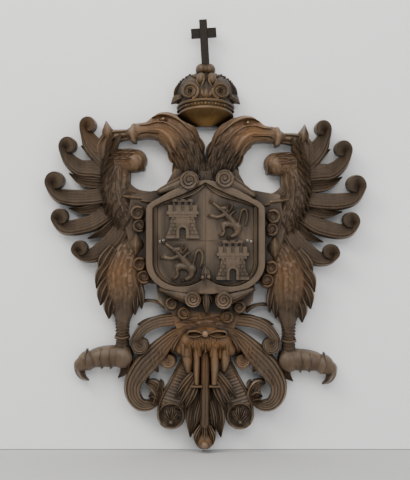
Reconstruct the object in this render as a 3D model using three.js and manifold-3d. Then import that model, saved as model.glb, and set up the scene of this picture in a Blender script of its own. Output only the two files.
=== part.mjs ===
// A carved wooden coat of arms: a double-headed eagle under a crown and a cross, with a quartered
// shield on its breast, a collar of links, and a tail of scrolls and leaves with a hanging ram.
// Units are millimetres, +Z is up, the carved face looks along -Y and the flat back lies on y = 0.
// The origin is on the flat back, behind the middle of the shield.

import * as THREE from 'three';
import { mergeVertices } from 'three/addons/utils/BufferGeometryUtils.js';
import ManifoldModule from 'manifold-3d';

const wasm = await ManifoldModule();
wasm.setup();

// Driving sizes of the eagle: its height from the heads to the foot of the tail, and its relief.
const EAGLE_HEIGHT = 784;
const EAGLE_RELIEF = 60;
const EAGLE_LEAN = 8.5; // how much lower the right wing, head and leg hang than the left ones

// Driving sizes of the shield.
const SHIELD_WIDTH = 274;
const SHIELD_HEIGHT = 261;
const SHIELD_FRAME = 27; // width of the moulded frame
const SHIELD_BOARD = 18; // thickness of the board
const SHIELD_SEAT = 40; // depth of the flat on the eagle that carries the board
const SEAT_INSET = 6; // from the board's edge to the edge of that flat
const FRAME_RISE = 10;
const CHARGE_RISE = 8; // castles and lions above the board
const QUARTER_GROOVE = 2.4;

// Driving sizes of the crown, the cross and the pins.
const CROWN_WIDTH = 142;
const CROWN_HEIGHT = 124;
const CROWN_DEPTH = 86;
const CROSS_WIDTH = 18.5; // width of the upright
const CROSS_HEIGHT = 103;
const CROSS_BAR_LENGTH = 59;
const CROSS_BAR_WIDTH = 23;
const CROSS_BAR_LEVEL = 71; // middle of the bar above the top of the knob
const CROSS_THICKNESS = 9;
const CROSS_TENON = 10; // length of the foot that is let into the crown's knob
const CROSS_DEPTH = 18; // back of the slats, out from the flat back
const CROSS_TILT = THREE.MathUtils.degToRad(3.4);
const PIN_HEAD = 6.4;
const PIN_DOME = 2.6;
const PIN_SHANK = 3;
const PIN_LENGTH = 12;
const PIN_PITCH = 8.6;
const CLEARANCE = 0.3; // between pieces that touch
const BACK_TRIM = 4; // carving strokes start this far behind the back and are cut flat together
const TIP_WIDTH = 0.6; // least half width of a tapering stroke

// The free carving is drawn on a squared pattern, 338 squares to the eagle's height.
const square = EAGLE_HEIGHT / 338;

// The shield has squares of its own, 118 to its width and 112.5 to its height.
const shieldSquare = SHIELD_WIDTH / 118;
const shieldRow = SHIELD_HEIGHT / 112.5;

// The crown's lowest edge stands between the two necks.
const crownFoot = 115.1 * square;
const crownUnit = CROWN_WIDTH / 61;

// Cross sections of a carved band: pairs of side share and height share.
const CROWNED = [[-1, 0], [-1, 0.5], [-0.5, 0.96], [0.5, 0.96], [1, 0.5], [1, 0]];
const KEELED = [[-1, 0], [-1, 0.55], [0, 1], [1, 0.55], [1, 0]];
const RIMMED = [[-1, 0], [-1, 1], [1, 0.66], [1, 0]];
const LEAF = [[-1, 0.6], [0, 1], [1, 0.6], [0, 0.1]];
const RIDGE = [[-1, 0], [0, 1], [1, 0]];
const RIMMED_RIGHT = RIMMED.map(([side, rise]) => [-side, rise]).reverse();

// Turns a closed mesh, with its faces pointing either way, into a solid.
function solidOf(positions, triangles) {
  let volume = 0;
  for (let i = 0; i < triangles.length; i += 3) {
    const [a, b, c] = [0, 1, 2].map((k) => {
      return new THREE.Vector3().fromArray(positions, triangles[i + k] * 3);
    });
    volume += a.dot(b.cross(c));
  }
  const outward = volume > 0 ? triangles : triangles.slice().reverse();
  return new wasm.Manifold(new wasm.Mesh({
    numProp: 3,
    vertProperties: new Float32Array(positions),
    triVerts: new Uint32Array(outward),
  }));
}

function solidFromGeometry(geometry) {
  const bare = geometry.clone();
  bare.deleteAttribute('normal');
  bare.deleteAttribute('uv');
  const merged = mergeVertices(bare, 1e-4);
  return solidOf(Array.from(merged.attributes.position.array), Array.from(merged.index.array));
}

function join(solids) {
  return wasm.Manifold.union(solids);
}

// A curve through stations of [x, z, half width, height], all in millimetres.
function smoothStations(stations, stepsBetween) {
  const route = new THREE.CatmullRomCurve3(stations.map(([x, z]) => new THREE.Vector3(x, 0, z)));
  const sizes = new THREE.CatmullRomCurve3(stations.map(([, , w, h]) => new THREE.Vector3(w, h, 0)));
  const steps = (stations.length - 1) * stepsBetween;
  const smooth = [];
  for (let i = 0; i <= steps; i += 1) {
    const p = route.getPoint(i / steps);
    const s = sizes.getPoint(i / steps);
    smooth.push([p.x, p.z, Math.max(s.x, TIP_WIDTH), s.y]);
  }
  return smooth;
}

// A carved band swept along its stations, from a flat underside at depth base to its own heights.
function bandSolid(stations, section, base = -BACK_TRIM) {
  const count = section.length;
  const positions = [];
  stations.forEach(([x, z, half, height], i) => {
    const before = stations[Math.max(i - 1, 0)];
    const after = stations[Math.min(i + 1, stations.length - 1)];
    const along = new THREE.Vector2(after[0] - before[0], after[1] - before[1]).normalize();
    for (const [side, rise] of section) {
      const depth = base + (height - base) * rise;
      positions.push(x + along.y * side * half, -depth, z - along.x * side * half);
    }
  });
  const triangles = [];
  for (let i = 0; i < stations.length - 1; i += 1) {
    for (let k = 0; k < count; k += 1) {
      const a = i * count + k;
      const b = i * count + (k + 1) % count;
      triangles.push(a, b, b + count, a, b + count, a + count);
    }
  }
  const last = (stations.length - 1) * count;
  for (let k = 1; k < count - 1; k += 1) {
    triangles.push(0, k + 1, k, last, last + k, last + k + 1);
  }
  return solidOf(positions, triangles);
}

// A round boss whose axis runs out from the back, with a domed face.
function boss(x, z, radius, height, sides = 10, base = -BACK_TRIM, domeShare = 0.5) {
  const dome = Math.min(radius * domeShare, height - base);
  const shoulder = sides > 9 ? [new THREE.Vector2(radius * 0.7, height - dome * 0.3)] : [];
  const profile = [
    new THREE.Vector2(0, base),
    new THREE.Vector2(radius, base),
    new THREE.Vector2(radius, height - dome),
    ...shoulder,
    new THREE.Vector2(0, height),
  ];
  const geometry = new THREE.LatheGeometry(profile, sides).rotateX(Math.PI);
  return solidFromGeometry(geometry.translate(x, 0, z));
}

// A round link or rolled end: a rim round a hollow, with its axis running out from the back.
function dish(x, z, radius, height, hollow, sides = 6, base = -BACK_TRIM) {
  const profile = [
    new THREE.Vector2(0, base),
    new THREE.Vector2(radius, base),
    new THREE.Vector2(radius, height - hollow * 0.5),
    new THREE.Vector2(radius * 0.72, height),
    new THREE.Vector2(0, height - hollow),
  ];
  const geometry = new THREE.LatheGeometry(profile, sides).rotateX(Math.PI);
  return solidFromGeometry(geometry.translate(x, 0, z));
}

// A flat-faced prism on an outline of [x, z] points, between two depths.
function prism(outline, from, to) {
  const shape = new THREE.Shape(outline.map(([x, z]) => new THREE.Vector2(x, z)));
  const geometry = new THREE.ExtrudeGeometry(shape, { depth: to - from, bevelEnabled: false });
  return solidFromGeometry(geometry.rotateX(Math.PI / 2).translate(0, -from, 0));
}

// The eagle's pattern: out from the mirror line, up from the middle, both in squares.
// Widths are in squares too, and heights are shares of the relief.
function patternSide(side, lean = EAGLE_LEAN) {
  const drop = side > 0 ? lean : 0;
  const point = (out, up) => [side * out * square, up * square - drop];
  return {
    side,
    point,
    band: (stations, section = CROWNED, stepsBetween = 1) => {
      const real = stations.map(([out, up, half, rise]) => {
        return [...point(out, up), half * square, rise * EAGLE_RELIEF];
      });
      return bandSolid(smoothStations(real, stepsBetween), section);
    },
    boss: (out, up, radius, rise, sides, domeShare) => {
      return boss(...point(out, up), radius * square, rise * EAGLE_RELIEF, sides, -BACK_TRIM, domeShare);
    },
    dish: (out, up, radius, rise, hollow) => {
      return dish(...point(out, up), radius * square, rise * EAGLE_RELIEF, hollow * EAGLE_RELIEF);
    },
  };
}

// The rolled end of a feather or scroll, as a round drum that rises to a knob.
function curl(pattern, [out, up, radius], rise) {
  const [x, z] = pattern.point(out, up);
  const reach = radius * square;
  const face = rise * EAGLE_RELIEF;
  const profile = [
    new THREE.Vector2(0, -BACK_TRIM),
    new THREE.Vector2(reach, -BACK_TRIM),
    new THREE.Vector2(reach, face * 0.84),
    new THREE.Vector2(reach * 0.62, face),
    new THREE.Vector2(0, face * 1.04),
  ];
  const geometry = new THREE.LatheGeometry(profile, 8).rotateX(Math.PI);
  return solidFromGeometry(geometry.translate(x, 0, z));
}

// Long wing feathers, each [out, up, half width, rise] from the curl to the root.
const PRIMARIES = [
  {
    curl: [117.7, 116, 9.2],
    blade: [[122.8, 113, 4, 0.72], [119.2, 106, 7.2, 0.6], [112.5, 95, 10, 0.55], [99, 80, 11, 0.46]],
  },
  {
    curl: [138, 95.5, 9.6],
    blade: [
      [143.4, 90, 4.2, 0.74], [136.5, 80.5, 7, 0.62], [125.5, 73, 8.6, 0.55],
      [113.5, 72, 9, 0.56], [96, 70, 9.5, 0.46],
    ],
  },
  {
    curl: [151, 60, 10.5],
    blade: [
      [157, 54.5, 4.4, 0.76], [148.5, 46, 7, 0.64], [135.5, 43.2, 8.5, 0.56],
      [121.5, 43, 8.5, 0.55], [110.5, 44, 8.2, 0.56], [95, 47, 8.6, 0.46],
    ],
  },
  {
    curl: [146, 24, 9.2],
    blade: [
      [151, 18.5, 4.4, 0.74], [143.5, 13.6, 6.8, 0.64], [133.5, 13.2, 8, 0.57],
      [120.5, 16, 8.5, 0.55], [109.5, 20.5, 8.5, 0.56], [92, 33, 9, 0.46],
    ],
  },
  {
    curl: [126, -7.8, 8.9],
    blade: [
      [130.6, -13, 4.4, 0.72], [121.5, -15.6, 6.2, 0.64], [109, -12.6, 8.4, 0.6],
      [93, -1, 10.2, 0.58], [80.5, 17, 8.6, 0.46],
    ],
  },
];

// Short pointed feathers that show between the long ones, from the tip to the root.
const POINTED = [
  [[125.5, 96, 0.6, 0.4], [114, 87.8, 3.8, 0.5], [103, 84, 4.6, 0.48]],
  [[137.5, 68, 0.6, 0.4], [122, 59.5, 5, 0.52], [103, 57.8, 6, 0.48]],
  [[137.5, 33, 0.6, 0.4], [121, 30.6, 4.2, 0.52], [105, 34.5, 5, 0.48]],
  [[118.5, 2.5, 0.6, 0.4], [102, 9.5, 4.2, 0.52], [86, 23, 5, 0.48]],
];

function wing(pattern) {
  const section = pattern.side < 0 ? RIMMED_RIGHT : RIMMED;
  const solids = [];
  for (const feather of PRIMARIES) {
    solids.push(pattern.band(feather.blade, section));
    solids.push(curl(pattern, feather.curl, 0.9));
  }
  for (const stations of POINTED) {
    solids.push(pattern.band(stations, RIDGE));
  }
  solids.push(pattern.band([
    [82, 90, 9, 0.6], [89, 66, 14, 0.68], [87.5, 38, 12.6, 0.68], [67.5, -5, 8, 0.6],
  ]));
  solids.push(pattern.band([[91.5, 81, 11, 0.7], [78.5, 81, 12, 0.78], [69.5, 80.5, 9.5, 0.8]]));
  solids.push(pattern.boss(70, 80.6, 11.6, 0.86, 10, 0.7));
  solids.push(pattern.band([[87.5, 54, 11, 0.6], [70.5, 44, 8.6, 0.6], [46, 40, 9, 0.6]]));
  return solids;
}

// The neck, head and beak are one sweep, from the chest to the tip of the beak.
function headAndNeck(pattern) {
  const neck = pattern.band([
    [15.5, 50, 16, 0.62], [15.2, 70, 16.3, 0.7], [18.5, 88, 16.6, 0.82], [28, 106, 19, 1],
    [44, 113, 15.4, 1], [57.5, 111, 8.8, 0.94], [69, 109.6, 8.2, 0.84], [75.8, 108, 5.4, 0.66],
  ]);
  const hook = pattern.band([[73.5, 105.5, 5, 0.72], [72, 100.5, 3, 0.64], [69.5, 97.8, 0.6, 0.5]], RIDGE);
  const brow = pattern.band([[55, 121.6, 1.6, 0.95], [47.5, 125.8, 3, 1.1], [34, 124, 1.6, 1.04]], LEAF);
  const mouth = bandSolid([[68.5, 104.5, 0.9], [62, 107.5, 0.7], [46, 107, 0.5]].map(([out, up, half]) => {
    return [...pattern.point(out, up), half * square, 2 * EAGLE_RELIEF];
  }), KEELED, 0.7 * EAGLE_RELIEF);
  return { solids: [neck, hook, brow], cuts: [mouth] };
}

// The tongue runs from the beak to the wing's top feather, and a barb stands up at its end.
function tongue(pattern) {
  return [
    pattern.band([
      [70, 107, 4.8, 0.55], [81.5, 106.5, 5.6, 0.52], [92, 104.6, 7, 0.52], [100, 101, 7, 0.5],
    ]),
    pattern.band([[96, 108, 7, 0.46], [101, 96, 9.4, 0.5], [100, 82, 9, 0.5]]),
    pattern.band([[99.5, 98, 5, 0.58], [98.4, 109.5, 5.6, 0.62], [100, 120.8, 0.6, 0.42]], KEELED),
  ];
}

// Pointed feathers round the thigh's edge: root, middle with its half width, and tip.
const THIGH_FEATHERS = [
  [[92, -6], [101, -20, 7], [106.5, -34]],
  [[94, -20], [104, -34, 7], [109.5, -47.5]],
  [[93, -34], [101.5, -50, 7.6], [105.5, -64.5]],
  [[88, -46], [94.5, -64, 7.2], [97, -78]],
  [[80, -50], [83, -66, 8], [82, -79]],
  [[70, -34], [68, -60, 7.6], [69, -77]],
];

// The thigh, shank and foot, with a claw in front and one behind.
function leg(pattern) {
  const solids = [
    pattern.band([
      [70, 2, 9, 0.6], [79, -14, 15, 0.82], [83, -31, 17.6, 0.98], [82.4, -50, 17, 1.04],
      [82.6, -68, 11.5, 0.88], [83.4, -84, 6.4, 0.7], [83.6, -102, 6.4, 0.64], [84.6, -113, 9.4, 0.7],
    ]),
    pattern.band([
      [84, -113.5, 10, 0.72], [94, -116, 10.4, 0.76], [104, -116.4, 10, 0.8], [113.4, -118.8, 8.8, 0.74],
      [121, -121.4, 9.8, 0.78], [127, -124.6, 6.6, 0.7],
    ]),
    pattern.band([
      [126, -123, 6, 0.7], [126, -131, 4.8, 0.64], [122.6, -137.4, 2.8, 0.54], [117.5, -140.5, 0.6, 0.42],
    ], KEELED),
    pattern.band([[82.5, -119, 6.5, 0.6], [82.5, -129, 4.2, 0.52], [88, -137.5, 0.6, 0.4]]),
  ];
  for (const [[rootOut, rootUp], [out, up, half], [tipOut, tipUp]] of THIGH_FEATHERS) {
    solids.push(pattern.band([
      [rootOut, rootUp, half * 0.7, 0.82], [out, up, half, 0.86], [tipOut, tipUp, 0.6, 0.55],
    ], RIDGE));
  }
  return solids;
}

// The round eyes of the collar's links, each [out, up, radius].
const COLLAR_EYES = [
  [67.5, 28, 8.4], [66, 15, 7.5], [65.5, -23, 8], [61.5, -36, 8], [33.5, -62, 7.2], [21.5, -72, 7.2],
];

// Half of the collar: a clasp bar, two double links, a flint bud and a link under the shield.
function collar(pattern) {
  const solids = [];
  for (const [out, up, radius] of COLLAR_EYES) {
    solids.push(pattern.dish(out, up, radius, 0.94, 0.14));
  }
  solids.push(pattern.band([[69, 8, 3, 0.8], [69, -4, 8.6, 0.96], [69.5, -16.5, 0.8, 0.76]], KEELED));
  solids.push(pattern.band([[82, 44, 1.5, 0.76], [65.5, 42, 1.8, 0.78], [53.5, 38.5, 1.5, 0.74]], KEELED));
  solids.push(pattern.band([
    [64, -60.5, 2, 0.5], [55.5, -60, 1.6, 0.52], [47.5, -62, 1.8, 0.55], [40, -66.5, 3, 0.6],
  ], KEELED));
  return solids;
}

// Scrolls and leaves of one side of the tail, each [out, up, half width, rise].
function tailSide(pattern) {
  const section = pattern.side < 0 ? RIMMED : RIMMED_RIGHT;
  return [
    pattern.band([
      [6, -75.5, 5, 0.62], [40, -79.6, 6, 0.68], [56, -83.4, 5.6, 0.7], [65.8, -90.5, 5, 0.72],
      [70, -101, 4.4, 0.74],
    ], section),
    curl(pattern, [65.6, -104.2, 9.6], 0.82),
    pattern.band([
      [18, -88, 5, 0.66], [33.5, -96, 6.4, 0.7], [48.5, -111, 10, 0.74], [62, -125, 11, 0.76],
      [72.6, -141, 8.8, 0.74], [73.4, -154, 7.6, 0.72], [66, -164.4, 6, 0.74], [52, -165, 4, 0.7],
    ], section),
    pattern.band([[48, -106, 5, 0.7], [43, -121.5, 0.7, 0.52]], RIDGE),
    pattern.band([[56, -116, 5.6, 0.7], [48.5, -130.5, 0.7, 0.52]], RIDGE),
    pattern.band([[65, -126, 5.6, 0.7], [57.5, -138.5, 0.7, 0.52]], RIDGE),
    pattern.band([
      [48, -164, 4.4, 0.7], [46.5, -154, 5.2, 0.74], [52, -145.5, 5.4, 0.74], [60, -142, 1.2, 0.6],
    ], KEELED),
    pattern.band([[18, -94, 4.4, 0.62], [32.5, -102, 4.4, 0.66], [41.5, -110, 4, 0.68]], KEELED),
    curl(pattern, [37.5, -120, 9], 0.78),
    pattern.band([
      [18, -122, 7, 0.56], [24.5, -141, 10.5, 0.62], [30.3, -156, 13, 0.68], [34, -168, 14.2, 0.72],
    ]),
    pattern.boss(34.5, -174.6, 14.2, 0.84, 10, 0.5),
    pattern.band([[10, -136, 4, 0.84], [17, -150, 7, 0.88], [28, -169, 0.8, 0.74]], LEAF),
    pattern.band([
      [6, -146, 5, 0.66], [11, -168, 7.4, 0.72], [14.6, -184, 5.6, 0.66], [15.4, -197, 0.7, 0.46],
    ], KEELED),
  ];
}

// The tail's middle stem with its bulb.
function tailMiddle(pattern) {
  return [
    pattern.band([
      [0.5, -120, 6, 0.74], [0.5, -152, 5.4, 0.84], [0.5, -174, 5.4, 0.82], [0.9, -190, 8, 0.8],
    ], KEELED),
    pattern.boss(1, -199, 9.8, 0.84, 10, 0.9),
    pattern.band([[-27, -80, 12, 0.6], [0, -78, 15, 0.64], [27, -80, 12, 0.6]]),
    pattern.band([[-22, -102, 14, 0.58], [0, -106, 22, 0.6], [22, -102, 14, 0.58]]),
  ];
}

// The ram hangs by its middle from a knotted band, head to one side and legs down.
function ram(pattern) {
  return [
    pattern.band([
      [24, -109, 6, 0.9], [14, -101, 12, 1.1], [0, -98, 13, 1.12], [-14, -101, 12.6, 1.14],
      [-23.5, -109, 7, 0.95],
    ]),
    pattern.band([[18.5, -106, 7, 1.04], [17, -119, 5.6, 1.06], [16.5, -130, 3, 0.86]], KEELED),
    pattern.band([[-19, -108, 6.6, 1.06], [-19.4, -120, 5, 1.02], [-18.5, -129, 2.6, 0.84]], KEELED),
    pattern.band([[9, -106, 5.2, 1.12], [8.8, -145, 4.2, 1]], KEELED),
    pattern.band([[-9, -106, 6.2, 1.16], [-8.6, -145, 4.8, 1]], KEELED),
    pattern.band([[21, -94.6, 2.6, 1.16], [12, -93.4, 4, 1.34], [0, -92.6, 3, 1.3]], LEAF),
    pattern.band([[-22, -91.6, 2.6, 1.16], [-13, -92.4, 4.2, 1.36], [0, -92.6, 3, 1.3]], LEAF),
  ];
}

// The flat on the breast that carries the shield, and the body behind it.
function bodyOutline() {
  const half = [
    [0, 70], [31, 72], [42, 52], [74, 46], [80, 14], [74, -12], [64, -34], [60, -42],
    [49, -43], [47.5, -60], [34, -72], [28, -90], [24, -118], [14, -128], [0, -130],
  ];
  const real = half.map(([out, up]) => [out * square, up * square]);
  const mirrored = real.slice(1, -1).reverse().map(([x, z]) => [-x, z]);
  return [...real, ...mirrored];
}

// Half an outline, from the top to the bottom on the mirror line, then its mirror image.
function mirroredOutline(shape, divisions) {
  const half = shape.getPoints(divisions).map((p) => [p.x, p.y]);
  const mirrored = half.slice(1, -1).reverse().map(([x, z]) => [-x, z]);
  return [...half, ...mirrored];
}

// The board's outline, grown by a margin all round.
function shieldOutline(margin = 0) {
  const half = SHIELD_WIDTH / 2 + margin;
  const row = shieldRow;
  const path = new THREE.Path();
  path.moveTo(0, 60.8 * row + margin);
  path.quadraticCurveTo(half * 0.42, 57 * row, half * 0.8, 42 * row + margin);
  path.quadraticCurveTo(half, 37 * row, half, 31 * row);
  path.lineTo(half, -24 * row);
  path.quadraticCurveTo(half * 0.97, -38 * row, half * 0.72, -46.8 * row - margin);
  path.quadraticCurveTo(half * 0.4, -52.5 * row - margin, 0, -53 * row - margin);
  return mirroredOutline(path, 3);
}

// The sunk field inside the frame: a peak above, and two lobes with a cusp between them below.
function fieldOutline() {
  const half = SHIELD_WIDTH / 2 - SHIELD_FRAME;
  const row = shieldRow;
  const path = new THREE.Path();
  path.moveTo(0, 60.8 * row - 0.42 * SHIELD_FRAME);
  path.quadraticCurveTo(half * 0.14, 43.5 * row, half * 0.6, 40 * row);
  path.quadraticCurveTo(half * 0.8, 37.5 * row, half, 34 * row);
  path.lineTo(half, -22 * row);
  path.quadraticCurveTo(half * 0.96, -41 * row, half * 0.48, -43 * row);
  path.quadraticCurveTo(half * 0.11, -43 * row, 0, -24 * row);
  return mirroredOutline(path, 3);
}

const boardBack = SHIELD_SEAT + CLEARANCE;
const boardFace = boardBack + SHIELD_BOARD;
const chargeFace = boardFace + CHARGE_RISE;

// Straps rolled up at the shield's four corners: thin end, big end and the big end's radius.
const SHIELD_ROLLS = [
  { thin: [-45, 49.5, 3.2], big: [-16, 60, 9.4] },
  { thin: [47.5, 45.5, 3.4], big: [19, 61.5, 9.2] },
  { thin: [-44.5, -47.5, 2.6], big: [-12.5, -57.6, 8] },
  { thin: [46.5, -47.6, 2.8], big: [18, -58.6, 8.6] },
];

const rollEnd = ([x, z, radius]) => [x * shieldSquare, z * shieldRow, radius * shieldSquare];

function shieldRoll({ thin, big }) {
  const [x0, z0, r0] = rollEnd(thin);
  const [x1, z1, r1] = rollEnd(big);
  const thinFace = boardFace + FRAME_RISE * 0.3;
  const bigFace = boardFace + FRAME_RISE * 1.5;
  const strap = bandSolid([[x0, z0, r0, thinFace], [x1, z1, r1 * 0.96, bigFace]], CROWNED, boardBack);
  return join([strap, dish(x1, z1, r1, bigFace + 2, 5, 8, boardBack)]);
}

// The space that a roll takes up, grown by the clearance, from the shield's seat forward.
function rollSeat({ thin, big }) {
  const [x0, z0, r0] = rollEnd(thin);
  const [x1, z1, r1] = rollEnd(big);
  const stations = [[x0, z0, r0 + CLEARANCE, 2 * boardFace], [x1, z1, r1 + CLEARANCE, 2 * boardFace]];
  return join([
    bandSolid(stations, [[-1, 0], [-1, 1], [1, 1], [1, 0]], SHIELD_SEAT),
    boss(x1, z1, r1 + CLEARANCE, 2 * boardFace, 8, SHIELD_SEAT, 0),
  ]);
}

// A three-towered castle with battlements, windows and an arched door.
function castle(x, z, width, height) {
  const at = (across, up) => [x + across * width, z + up * height];
  const slab = (points, top) => prism(points.map(([a, u]) => at(a, u)), boardFace - 2, top);
  const boxSlab = (left, low, right, high, top) => {
    return slab([[left, low], [right, low], [right, high], [left, high]], top);
  };
  const solids = [
    slab([[-0.5, -0.5], [0.5, -0.5], [0.5, -0.42], [0.4, -0.2], [0.36, 0.1], [-0.36, 0.1], [-0.4, -0.2],
      [-0.5, -0.42]], chargeFace),
    boxSlab(-0.44, 0.06, 0.44, 0.18, chargeFace + 1.5),
    boxSlab(-0.27, 0.16, 0.27, 0.36, chargeFace),
  ];
  for (let i = 0; i < 4; i += 1) {
    const middle = -0.38 + i * 0.76 / 3;
    solids.push(boxSlab(middle - 0.065, 0.16, middle + 0.065, 0.36, chargeFace + 1.5));
  }
  for (const middle of [-0.2, 0, 0.2]) {
    solids.push(boxSlab(middle - 0.06, 0.34, middle + 0.06, 0.5, chargeFace));
  }
  const door = new THREE.Path();
  door.moveTo(...at(-0.11, -0.52));
  door.lineTo(...at(-0.11, -0.3));
  door.absarc(x, z - 0.3 * height, 0.11 * width, Math.PI, 0, true);
  door.lineTo(...at(0.11, -0.52));
  const cuts = [prism(door.getPoints(3).map((p) => [p.x, p.y]), boardFace, chargeFace + 9)];
  for (const [across, up] of [[-0.2, 0.24], [0.2, 0.24], [0, 0.1]]) {
    const [left, low] = at(across - 0.04, up - 0.04);
    const [right, high] = at(across + 0.04, up + 0.05);
    cuts.push(prism([[left, low], [right, low], [right, high], [left, high]], boardFace, chargeFace + 9));
  }
  return { solids: [join(solids)], cuts };
}

// A rampant lion, drawn in shares of its own height, facing the viewer's left: trunk, head, mane,
// two arms, two legs and the looped tail.
const LION_LIMBS = [
  [[-0.22, 0.32, 0.11, 1], [0.05, -0.02, 0.12, 1.2], [0.24, -0.26, 0.12, 1]],
  [[-0.28, 0.43, 0.05, 0.9], [-0.17, 0.42, 0.1, 1.3], [-0.04, 0.32, 0.12, 1.2]],
  [[0.14, 0.48, 0.02, 0.8], [0.04, 0.24, 0.09, 1.1]],
  [[-0.48, 0.47, 0.055, 0.9], [-0.34, 0.33, 0.045, 1], [-0.16, 0.2, 0.07, 1.1]],
  [[-0.53, 0.07, 0.06, 0.9], [-0.34, 0.12, 0.05, 1.05], [-0.06, 0.13, 0.08, 1.15]],
  [[0.14, -0.16, 0.12, 1.2], [-0.16, -0.14, 0.08, 1.1], [-0.32, -0.38, 0.06, 0.9]],
  [[0.24, -0.2, 0.12, 1.1], [0.14, -0.42, 0.08, 1], [-0.2, -0.47, 0.06, 0.9]],
  [
    [0.28, -0.26, 0.045, 0.9], [0.4, -0.06, 0.04, 0.9], [0.3, 0.16, 0.04, 0.95], [0.4, 0.3, 0.045, 0.95],
    [0.5, 0.16, 0.045, 0.95], [0.45, 0.02, 0.03, 0.8],
  ],
];

function lion(x, z, height) {
  const solids = LION_LIMBS.map((limb) => {
    const stations = limb.map(([across, up, half, rise]) => {
      return [x + across * height, z + up * height, half * height, boardFace + rise * CHARGE_RISE];
    });
    return bandSolid(smoothStations(stations, 1), RIDGE, boardFace - 2);
  });
  return join(solids);
}

// The bud at the frame's cusp and the three leaves that hang under it.
function cuspOrnament() {
  const band = (stations, section) => {
    const real = stations.map(([x, z, half, rise]) => {
      return [x * shieldSquare, z * shieldRow, half * shieldSquare, boardFace + rise * FRAME_RISE];
    });
    return bandSolid(real, section, boardBack);
  };
  const pearl = (x, z) => {
    const face = boardFace + 1.7 * FRAME_RISE;
    return boss(x * shieldSquare, z * shieldRow, 2.2 * shieldSquare, face, 6, boardBack);
  };
  return [
    band([[0, -25, 1.2, 0.9], [0.1, -33, 4.4, 1.3], [0.4, -44, 3.6, 1.1], [0.4, -52, 0.8, 0.9]], KEELED),
    pearl(-2.6, -36),
    pearl(3.2, -35.5),
    band([[0.4, -46, 2.4, 0.6], [0.8, -60, 3.8, 0.9], [1, -70, 0.8, 0.4]], KEELED),
    band([[-1, -55, 2, 0.4], [-4, -61, 2.4, 0.6], [-4.6, -67, 0.8, 0.3]], KEELED),
    band([[2, -55, 2, 0.4], [5.4, -60, 2.4, 0.6], [6.4, -66, 0.8, 0.3]], KEELED),
  ];
}

const pinPlaces = [];
for (const [side, name] of [[-1, 'left'], [1, 'right']]) {
  const middle = SHIELD_WIDTH / 2 - SHIELD_FRAME - 9;
  pinPlaces.push({ name: `shield_pin_${name}_outer`, x: side * (middle + PIN_PITCH / 2), z: -1 });
  pinPlaces.push({ name: `shield_pin_${name}_inner`, x: side * (middle - PIN_PITCH / 2), z: 1 });
}

// The frame's moulding as shares of the way in from the edge and of its rise.
const FRAME_PROFILE = [[0.02, 1], [0.56, 1], [0.66, 0.4], [0.8, 0.8], [1, 0]];

// The board with its moulded frame, from the flat back to the sunk field.
function framedBoard() {
  const outer = shieldOutline();
  const field = fieldOutline();
  const count = outer.length;
  const rings = [[0, boardBack]];
  for (const [share, rise] of FRAME_PROFILE) {
    rings.push([share, boardFace + rise * FRAME_RISE]);
  }
  const positions = [];
  for (const [share, depth] of rings) {
    outer.forEach(([x, z], i) => {
      positions.push(x + (field[i][0] - x) * share, -depth, z + (field[i][1] - z) * share);
    });
  }
  const triangles = [];
  for (let level = 0; level < rings.length - 1; level += 1) {
    for (let i = 0; i < count; i += 1) {
      const a = level * count + i;
      const b = level * count + (i + 1) % count;
      triangles.push(a, b, b + count, a, b + count, a + count);
    }
  }
  const cap = (outline, first, sameWay) => {
    const points = outline.map(([x, z]) => new THREE.Vector2(x, z));
    const outlineWay = Math.sign(THREE.ShapeUtils.area(points));
    for (const corners of THREE.ShapeUtils.triangulateShape(points, [])) {
      const way = Math.sign(THREE.ShapeUtils.area(corners.map((k) => points[k])));
      const [p, q, r] = corners.map((k) => k + first);
      triangles.push(...((way === outlineWay) === sameWay ? [p, q, r] : [p, r, q]));
    }
  };
  cap(outer, 0, false);
  cap(field, (rings.length - 1) * count, true);
  return solidOf(positions, triangles);
}

function buildShield() {
  const castleWidth = 31.5 * shieldSquare;
  const castleHeight = 39 * shieldRow;
  const castles = [
    castle(-22.6 * shieldSquare, 22 * shieldRow, castleWidth, castleHeight),
    castle(27 * shieldSquare, -19 * shieldRow, castleWidth, castleHeight),
  ];
  const grooveHalf = QUARTER_GROOVE / 2;
  const reach = SHIELD_WIDTH / 2 - SHIELD_FRAME;
  const bar = (left, low, right, high) => {
    return prism([[left, low], [right, low], [right, high], [left, high]], boardFace - 1.6, boardFace + 1);
  };
  const cuts = [
    bar(-grooveHalf, -24 * shieldRow, grooveHalf, 50 * shieldRow),
    bar(-reach, -grooveHalf, reach, grooveHalf),
    ...castles.flatMap((each) => each.cuts),
  ];
  for (const { x, z } of pinPlaces) {
    cuts.push(boss(x, z, PIN_SHANK / 2 + CLEARANCE, boardFace + 30, 6, boardFace - PIN_LENGTH, 0));
  }
  const solids = [
    framedBoard(),
    ...SHIELD_ROLLS.map(shieldRoll),
    ...castles.flatMap((each) => each.solids),
    lion(23 * shieldSquare, 21 * shieldRow, 36.5 * shieldRow),
    lion(-22.6 * shieldSquare, -20.4 * shieldRow, 39 * shieldRow),
    ...cuspOrnament(),
  ];
  return join(solids).subtract(join(cuts));
}

// The space that the shield takes up, grown by the clearance, from its seat forward.
function shieldSeat() {
  return join([
    prism(shieldOutline(CLEARANCE), SHIELD_SEAT, 2 * boardFace),
    ...SHIELD_ROLLS.map(rollSeat),
    prism([[-7.5, -40], [8.5, -40], [8.5, -67], [3, -72], [-1.5, -72], [-7.5, -68]].map(([x, z]) => {
      return [x * shieldSquare, z * shieldRow];
    }), SHIELD_SEAT, 2 * boardFace),
  ]);
}

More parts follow.
